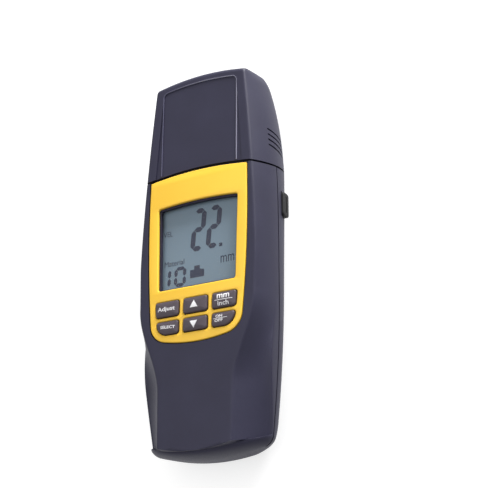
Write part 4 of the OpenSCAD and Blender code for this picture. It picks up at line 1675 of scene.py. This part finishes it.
@dataclass(frozen=True)
class Figure:
    """A slanted seven-segment figure, from its lower left corner."""

    x: float
    y: float
    w: float
    h: float
    t: float
    slant: float = 0.08
    gap: float = 0.12

    LIT = {"0": "abcdef", "1": "bc", "2": "abdeg"}

    def bars(self, figure: str) -> list[list[Point2]]:
        """Lit segments of a figure.

        Args:
            figure: The figure.
        Returns:
            Corners of each lit segment.
        """
        r, left, right, mid = self.t / 2, self.t / 2, self.w - self.t / 2, self.h / 2
        rows = {"a": self.h - r, "g": mid, "d": r}
        cols = {"b": (right, mid, self.h - r), "c": (right, r, mid), "e": (left, r, mid), "f": (left, mid, self.h - r)}
        out = []
        for name in self.LIT[figure]:
            if name in rows:
                y, a, b = rows[name], left + self.gap, right - self.gap
                bar = [(a, y), (a + r, y - r), (b - r, y - r), (b, y), (b - r, y + r), (a + r, y + r)]
            else:
                x, a, b = cols[name][0], cols[name][1] + self.gap, cols[name][2] - self.gap
                bar = [(x, a), (x + r, a + r), (x + r, b - r), (x, b), (x - r, b - r), (x - r, a + r)]
            out.append([(self.x + px + self.slant * py, self.y + py) for px, py in bar])
        return out


@dataclass
class Display:
    """What the liquid crystal shows: a reading, its unit, the speed and material labels and a probe sign."""

    panel_z: float = 26.4
    lift: float = 0.03

    def build(self) -> None:
        """Makes the dark marks just above the panel."""
        shown = [(Figure(-5.3, 2.0, 6.4, 18.8, 2.2), "2"), (Figure(2.0, 2.0, 6.4, 18.8, 2.2), "2"),
                 (Figure(-18.9, -12.1, 4.6, 8.6, 1.5, 0.04), "1"), (Figure(-12.7, -12.1, 5.6, 8.6, 1.5, 0.04), "0")]
        bars = [bar for figure, name in shown for bar in figure.bars(name)]
        # Decimal point, then the body and the stem of the probe sign
        bars += [[(8.4, 2.1), (9.9, 2.1), (9.9, 3.6), (8.4, 3.6)],
                 [(-5.0, -9.4), (1.6, -9.4), (1.6, -6.4), (-0.4, -5.9), (-5.0, -5.9)],
                 [(-3.1, -5.89), (-0.5, -5.89), (-0.5, -4.3), (-3.1, -4.3)]]
        parts = [mark(f"bar_{k}", bar) for k, bar in enumerate(bars)]
        parts += [lettering("unit_shown", "mm", (12.3, -3.6), (6.2, 3.0)),
                  lettering("speed_shown", "VEL", (-16.0, 12.0), (4.4, 2.4)),
                  lettering("material_shown", "Material", (-12.6, -1.4), (9.4, 2.3))]
        reading = merge("lcd_reading", parts)
        reading.data.transform(Matrix.Translation((0, 0, (self.panel_z + self.lift) * MM)))
        settle(reading, Body.HOUSING, Finishes.SEGMENT)


def bar_row(name: str, start: Point3, step: Point3, count: int, size: Point3) -> Object:
    """Straight bars repeated along a line.

    Args:
        name: Piece name. start, step: Middle of the first bar, and the way to the next. count: Bars. size: Of one bar.
    Returns:
        The bars as one mesh.
    """
    rep = Repeat(name, Finishes.SHELL, {"Start": metres(start), "Step": metres(step), "Count": count,
                                        "Size": metres(size)})
    return rep.make(rep.row(rep.add("GeometryNodeMeshCube", {"Size": "Size"})))


def screw_grid(name: str, centre: Point3, spread: Point2, head: Point2, shank: Point2,
               cross: Point3) -> Object:
    """Cross-headed screws at the corners of a rectangle, heads down.

    Args:
        name: Piece name. centre, spread: Middle and sides of the rectangle at the heads' seat.
        head, shank: Radius and height. cross: Length, width and depth of the recess.
    Returns:
        The screws as one mesh.
    """
    sunk = 0.05
    rep = Repeat(name, Finishes.NICKEL, {
        "Centre": metres(centre), "Spread X": spread[0] * MM, "Spread Y": spread[1] * MM,
        "Head Radius": head[0] * MM, "Head Height": head[1] * MM, "Shank Radius": shank[0] * MM,
        "Shank Length": shank[1] * MM, "Cross": (cross[0] * MM, cross[1] * MM, 2 * cross[2] * MM),
        "Head Middle": (0.0, 0.0, -head[1] / 2 * MM), "Head Face": (0.0, 0.0, -head[1] * MM),
        "Shank Middle": (0.0, 0.0, (shank[1] / 2 - sunk) * MM)})
    disc = rep.add("GeometryNodeMeshCylinder", {"Vertices": 48, "Radius": "Head Radius", "Depth": "Head Height"})
    screw = rep.add("GeometryNodeTransform", {"Geometry": disc, "Translation": "Head Middle"})
    arm = rep.add("GeometryNodeMeshCube", {"Size": "Cross"})
    arm = rep.add("GeometryNodeTransform", {"Geometry": arm, "Translation": "Head Face"})
    # The second arm is a hair smaller, so that no two faces of the arms lie on each other
    other = rep.add("GeometryNodeTransform", {"Geometry": arm, "Rotation": (0.0, 0.0, math.pi / 2),
                                              "Scale": (0.99, 0.99, 0.98)})
    for slot in (arm, other):
        screw = rep.add("GeometryNodeMeshBoolean", {"Mesh 1": screw, "Mesh 2": slot}, operation="DIFFERENCE",
                        solver="MANIFOLD")
    pin = rep.add("GeometryNodeMeshCylinder", {"Vertices": 32, "Radius": "Shank Radius", "Depth": "Shank Length"})
    stem = rep.add("GeometryNodeTransform", {"Geometry": pin, "Translation": "Shank Middle"})
    screw = rep.add("GeometryNodeMeshBoolean", {"Mesh 2": screw}, operation="UNION", solver="MANIFOLD")
    rep.tree.links.new(stem, screw.node.inputs["Mesh 2"])
    places = rep.add("GeometryNodeMeshGrid", {"Size X": "Spread X", "Size Y": "Spread Y", "Vertices X": 2,
                                              "Vertices Y": 2})
    moved = rep.add("GeometryNodeTransform", {"Geometry": places, "Translation": "Centre"})
    return rep.make(rep.add("GeometryNodeInstanceOnPoints", {"Points": moved, "Instance": screw}))


def rib_ring(name: str, centre: Point3, radius: float, count: int, size: Point3) -> Object:
    """Straight bars set round an axis along Y.

    Args:
        name: Piece name. centre: Middle of the ring. radius: Of the bars' middle. count: Bars.
        size: Radial, across, along Y.
    Returns:
        The bars as one mesh.
    """
    rep = Repeat(name, Finishes.STEEL, {"Centre": metres(centre), "Radius": radius * MM, "Count": count,
                                        "Size": metres(size)})
    bar = rep.add("GeometryNodeMeshCube", {"Size": "Size"})
    ring = rep.add("GeometryNodeMeshCircle", {"Vertices": "Count", "Radius": "Radius"})
    place = rep.add("GeometryNodeInputPosition")
    turn = rep.add("FunctionNodeAlignEulerToVector", {"Vector": place}, axis="X", pivot_axis="Z")
    copies = rep.add("GeometryNodeInstanceOnPoints", {"Points": ring, "Instance": bar, "Rotation": turn})
    return rep.make(rep.add("GeometryNodeTransform", {"Geometry": copies, "Rotation": ONTO_Y, "Translation": "Centre"}))


def thread(name: str, start: Point3, radius: float, pitch: float, turns: float, depth: float) -> Object:
    """A screw thread's groove as a wound bar along Y.

    Args:
        name: Piece name. start: First end of the axis. radius: Of the winding. pitch, turns: Its rise.
        depth: Half its section.
    Returns:
        The bar.
    """
    rep = Repeat(name, Finishes.BRASS, {"Start": metres(start), "Radius": radius * MM, "Height": pitch * turns * MM,
                                        "Turns": turns, "Depth": depth * MM})
    line = rep.add("GeometryNodeCurveSpiral", {"Resolution": FINE, "Rotations": "Turns", "Start Radius": "Radius",
                                               "End Radius": "Radius", "Height": "Height"})
    section = rep.add("GeometryNodeCurvePrimitiveCircle", {"Resolution": 6, "Radius": "Depth"})
    bar = rep.add("GeometryNodeCurveToMesh", {"Curve": line, "Profile Curve": section, "Fill Caps": True})
    return rep.make(rep.add("GeometryNodeTransform", {"Geometry": bar, "Rotation": ONTO_Y, "Translation": "Start"}))


def turned(name: str, start: Point3, profile: Sequence[Point2], count: int = 96) -> Object:
    """A solid turned about an axis along Y.

    Args:
        name: Piece name. start: Where the axis starts. profile: (radius, height) from the axis round to the axis.
        count: Facets.
    Returns:
        The solid.
    """
    x, y, z = start
    inner = profile[1:-1]
    angles = [2 * math.pi * k / count for k in range(count)]
    points: list[Point3] = [(x, y + profile[0][1], z), (x, y + profile[-1][1], z)]
    for r, h in inner:
        points += [(x + r * math.cos(a), y + h, z + r * math.sin(a)) for a in angles]

    def at(j: int, k: int) -> int:
        """Index of a point of a ring."""
        return 2 + j * count + k % count

    faces: list[Sequence[int]] = [(0, at(0, k + 1), at(0, k)) for k in range(count)]
    faces += [(1, at(len(inner) - 1, k), at(len(inner) - 1, k + 1)) for k in range(count)]
    for j in range(len(inner) - 1):
        faces += [(at(j, k), at(j, k + 1), at(j + 1, k + 1), at(j + 1, k)) for k in range(count)]
    return mesh_object(name, points, faces)


@dataclass
class Probe:
    """Probe in its well, and the two threaded sockets of its lead."""

    x: float = -4.4
    z: float = 14.25
    face_y: float = 46.8
    well: float = 12.5
    r: float = 7.0
    length: float = 28.0
    tip: float = 2.4
    chamfer: float = 0.6
    shoulder: float = 0.8
    shoulder_y: float = 20.0
    knurl_y: float = 16.3
    knurl_count: int = 36
    knurl: Point3 = (0.5, 0.45, 5.0)
    socket_xs: Point2 = (8.5, 18.0)
    socket_r: float = 3.2
    thread_y: float = 1.7
    thread_proud: float = 0.05
    thread_pitch: float = 0.6
    thread_turns: float = 3.6
    thread_depth: float = 0.22

    def build(self) -> None:
        """Makes the knurled sleeve, its wear face and the sockets."""
        low, end = self.face_y - self.well, self.length - self.tip
        r, thin, cut, step_y = self.r, self.r - self.shoulder, self.chamfer, self.shoulder_y
        sleeve = turned("probe_barrel", (self.x, low, self.z),
                        [(0, 0), (r - cut, 0), (r, cut), (r, step_y), (thin, step_y + self.shoulder), (thin, end),
                         (0, end)])
        carve(sleeve, rib_ring("barrel_knurl", (self.x, low + self.knurl_y, self.z), r, self.knurl_count, self.knurl))
        settle(shade(sleeve), Body.HOUSING, Finishes.STEEL, "probe_sleeve")
        face = turned("wear_face", (self.x, low + end, self.z),
                      [(0, 0), (thin, 0), (thin, 1.9), (thin - 0.15, 2.25), (thin - 0.5, self.tip), (0, self.tip)])
        settle(shade(face), Body.HOUSING, Finishes.INNER, "probe_face")
        s = self.socket_r
        profile = [(0, -5), (s, -5), (s, 0), (s + 0.9, 0), (s + 1.1, 0.2), (s + 1.1, 1), (s + 0.9, 1.2), (s, 1.2),
                   (s, 4.3), (s - 0.2, 4.5), (1.9, 4.5), (1.9, -0.5), (0, -0.5)]
        pair = []
        for k, x in enumerate(self.socket_xs):
            socket = turned(f"socket_{k}", (x, self.face_y, self.z), profile)
            groove = thread(f"socket_thread_{k}", (x, self.face_y + self.thread_y, self.z), s + self.thread_proud,
                            self.thread_pitch, self.thread_turns, self.thread_depth)
            pair.append(carve(socket, groove))
        settle(shade(merge("lead_sockets", pair)), Body.HOUSING, Finishes.BRASS, "probe_sockets")


@dataclass
class BackParts:
    """Battery door, case screws and the cover of the side port."""

    form: HousingForm
    shells: Shells
    slot: DoorSlot
    grip: Point3 = (16.0, 1.2, 1.2)
    grip_step: float = 2.4
    grip_count: int = 5
    grip_y: float = 6.0
    head: Point2 = (2.1, 1.6)
    shank: Point2 = (1.2, 8.6)
    cross: Point3 = (2.4, 0.5, 0.8)
    port_proud: float = 0.7
    port_corner: float = 1.3
    port_edge: float = 0.4
    port_gap: float = 0.15
    plug: Point2 = (7.0, 3.6)
    plug_span: Point2 = (5.1, 1.0)
    slit: Point3 = (0.5, 3.6, 0.35)
    slit_over: float = 1.0

    def door(self) -> None:
        """Makes the sliding door with its thumb grooves."""
        f = self.form
        rows = self.shells.rear_rows()
        lid = back_solid("battery_lid", f, rows, 0)
        carve(lid, self.slot.face("lid_face", 0.0), how=Cut.KEEP)
        carve(lid, self.slot.flange("lid_flange", f, rows, 0.0), how=Cut.JOIN)
        first = self.shells.bay[0][1] + self.grip_y + self.grip[1] / 2
        carve(lid, bar_row("lid_grooves", (0, first, 0), (0, self.grip_step, 0), self.grip_count, self.grip))
        settle(shade(lid), Body.DOOR, Finishes.SHELL, "battery_door")

    def screws(self) -> None:
        """Makes the four case screws."""
        sh = self.shells
        high, low = sh.screw_ys
        screws = screw_grid("case_screw_set", (0, (high + low) / 2, sh.seat_z), (2 * sh.screw_x, high - low),
                            self.head, self.shank, self.cross)
        settle(shade(screws), Body.HOUSING, Finishes.NICKEL, "case_screws")

    def cover(self) -> None:
        """Makes the port's rubber cover: a rounded lid with a finger slit, and its plug."""
        sh = self.shells
        wall_x, y, z = self.form.side(sh.port_y), sh.port_y, sh.port_z
        top = wall_x + self.port_proud
        plan = Outline.box(-sh.port_w / 2, -sh.port_h / 2, sh.port_w / 2, sh.port_h / 2).rounded(self.port_corner)
        lid = plate_solid("port_lid", [plan], wall_x - sh.port_sunk + self.port_gap, top, self.port_edge)
        lid.data.transform(Matrix(((0, 0, 1, 0), (1, 0, 0, y * MM), (0, 1, 0, z * MM), (0, 0, 0, 1))))
        w, h = self.plug[0] / 2, self.plug[1] / 2
        deep, near = self.plug_span
        carve(lid, block("port_plug", (wall_x - deep, y - w, z - h), (wall_x - near, y + w, z + h)), how=Cut.JOIN)
        sunk, w, h = self.slit
        carve(lid, block("port_slit", (top - sunk, y - w, z - h), (top + self.slit_over, y + w, z + h)))
        settle(shade(lid), Body.COVER, Finishes.RUBBER, "port_cover")

    def build(self) -> None:
        """Makes all three."""
        self.door()
        self.screws()
        self.cover()


@dataclass
class Studio:
    """Floor, light and camera."""

    lens_mm: float = 87.0746
    eye: Point3 = (227.7, -176.547, 411.557)
    right: Point3 = (0.880315, 0.001366, -0.474387)
    up: Point3 = (0.177184, 0.92668, 0.331466)
    back: Point3 = (0.440057, -0.375849, 0.815529)
    sensor_mm: float = 36.0
    sky_light: float = 0.32
    floor_glow: float = 0.72
    floor_half: float = 1600.0
    floor_z: float = -0.05

    # Name, place in millimetres, side in metres and power in watts of each lamp
    LAMPS = (("key_top_right", (400, 780, 130), 0.5, 23.0), ("fill_front", (-60, 60, 900), 0.9, 4.0))
    WHITE = (1, 1, 1, 1)

    def camera(self) -> None:
        """Sets the camera at the photograph's place."""
        data = bpy.data.cameras.new("camera")
        data.lens, data.sensor_width, data.sensor_fit = self.lens_mm, self.sensor_mm, "HORIZONTAL"
        data.clip_start, data.clip_end = 0.01, 10.0
        obj = linked("camera", data)
        axes = Matrix((self.right, self.up, self.back)).transposed().to_4x4()
        obj.matrix_world = Matrix.Translation(Vector(self.eye) * MM) @ axes
        bpy.context.scene.camera = obj

    def floor(self) -> None:
        """Lays the pale floor: white to the camera and in gloss, while it still takes the object's shadow."""
        w, z = self.floor_half, self.floor_z
        obj = mesh_object("floor", [(-w, -w, z), (w, -w, z), (w, w, z), (-w, w, z)], [(0, 1, 2, 3)])
        made = bpy.data.materials.new("floor_white_card")
        tree, shader = shader_tree(made, "Principled BSDF", {"Base Color": linear("#b4b4b4"), "Roughness": 0.9,
                                                             "Specular IOR Level": 0.0, "Emission Color": self.WHITE})
        add_node(tree, "ShaderNodeMath", {0: self.shown(tree), 1: self.floor_glow},
                 into=shader.inputs["Emission Strength"], operation="MULTIPLY")
        obj.data.materials.append(made)

    def shown(self, tree: Tree) -> Socket:
        """One for rays of the camera, of gloss and of glass, and zero for light.

        Args:
            tree: Tree of a material or world.
        Returns:
            The output socket.
        """
        seen = add_node(tree, "ShaderNodeLightPath", out="Is Camera Ray")
        rays = seen.node.outputs
        for kind in ("Is Glossy Ray", "Is Transmission Ray"):
            seen = add_node(tree, "ShaderNodeMath", {0: seen, 1: rays[kind]}, operation="MAXIMUM")
        return seen

    def lamp(self, name: str, place: Point3, size: float, power: float) -> None:
        """One square soft lamp aimed at the gauge.

        Args:
            name: Lamp name. place: Where it hangs, in millimetres. size: Side, in metres. power: In watts.
        """
        data = bpy.data.lights.new(name, "AREA")
        data.shape, data.size, data.energy = "SQUARE", size, power
        at = Vector(place) * MM
        linked(name, data).matrix_world = Matrix.Translation(at) @ at.to_track_quat("Z", "Y").to_matrix().to_4x4()

    def world(self) -> None:
        """White surroundings: plain to camera, gloss and glass, softer as light."""
        world = bpy.data.worlds.new("studio")
        bpy.context.scene.world = world
        tree, sky = shader_tree(world, "Background", {"Color": self.WHITE})
        add_node(tree, "ShaderNodeMapRange", {0: self.shown(tree), 3: self.sky_light, 4: 1.0},
                 into=sky.inputs["Strength"])

    def build(self) -> None:
        """Sets up the whole studio."""
        bpy.context.scene.view_settings.view_transform = "Standard"
        self.camera()
        self.floor()
        self.world()
        for lamp in self.LAMPS:
            self.lamp(*lamp)


# Solids that stay as they are, and their finishes
PLAIN = {
    "probe_holder": Finishes.INNER, "lcd_panel": Finishes.CRYSTAL, "lcd_connectors": Finishes.ELASTOMER,
    "main_board": Finishes.BOARD, "keypad_mat": Finishes.ELASTOMER, **{f"cell_{k}": Finishes.CELL for k in range(1, 5)},
    "contact_springs": Finishes.NICKEL, "contact_plates": Finishes.NICKEL, "board_screws": Finishes.NICKEL,
    "data_jack": Finishes.INNER,
}


def main() -> None:
    """Builds the gauge's pieces in order and dresses the solids that stay."""
    logging.basicConfig(level=logging.INFO, format="%(message)s")
    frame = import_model()
    form = HousingForm()
    layout = FrontLayout(form)
    Studio().build()
    shells = Shells(form, layout)
    shells.build()
    Cap(form).build()
    Faceplate(layout).build()
    Display().build()
    Keypad(layout).build()
    BackParts(form, shells, DoorSlot()).build()
    Probe().build()
    for name, finish in PLAIN.items():
        node = frame["nodes"][name]
        node.data.materials.clear()
        node.data.materials.append(finish.material())
        LOG.info("solid %s: %s", name, finish.name)
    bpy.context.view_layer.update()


if __name__ == "__main__":
    main()
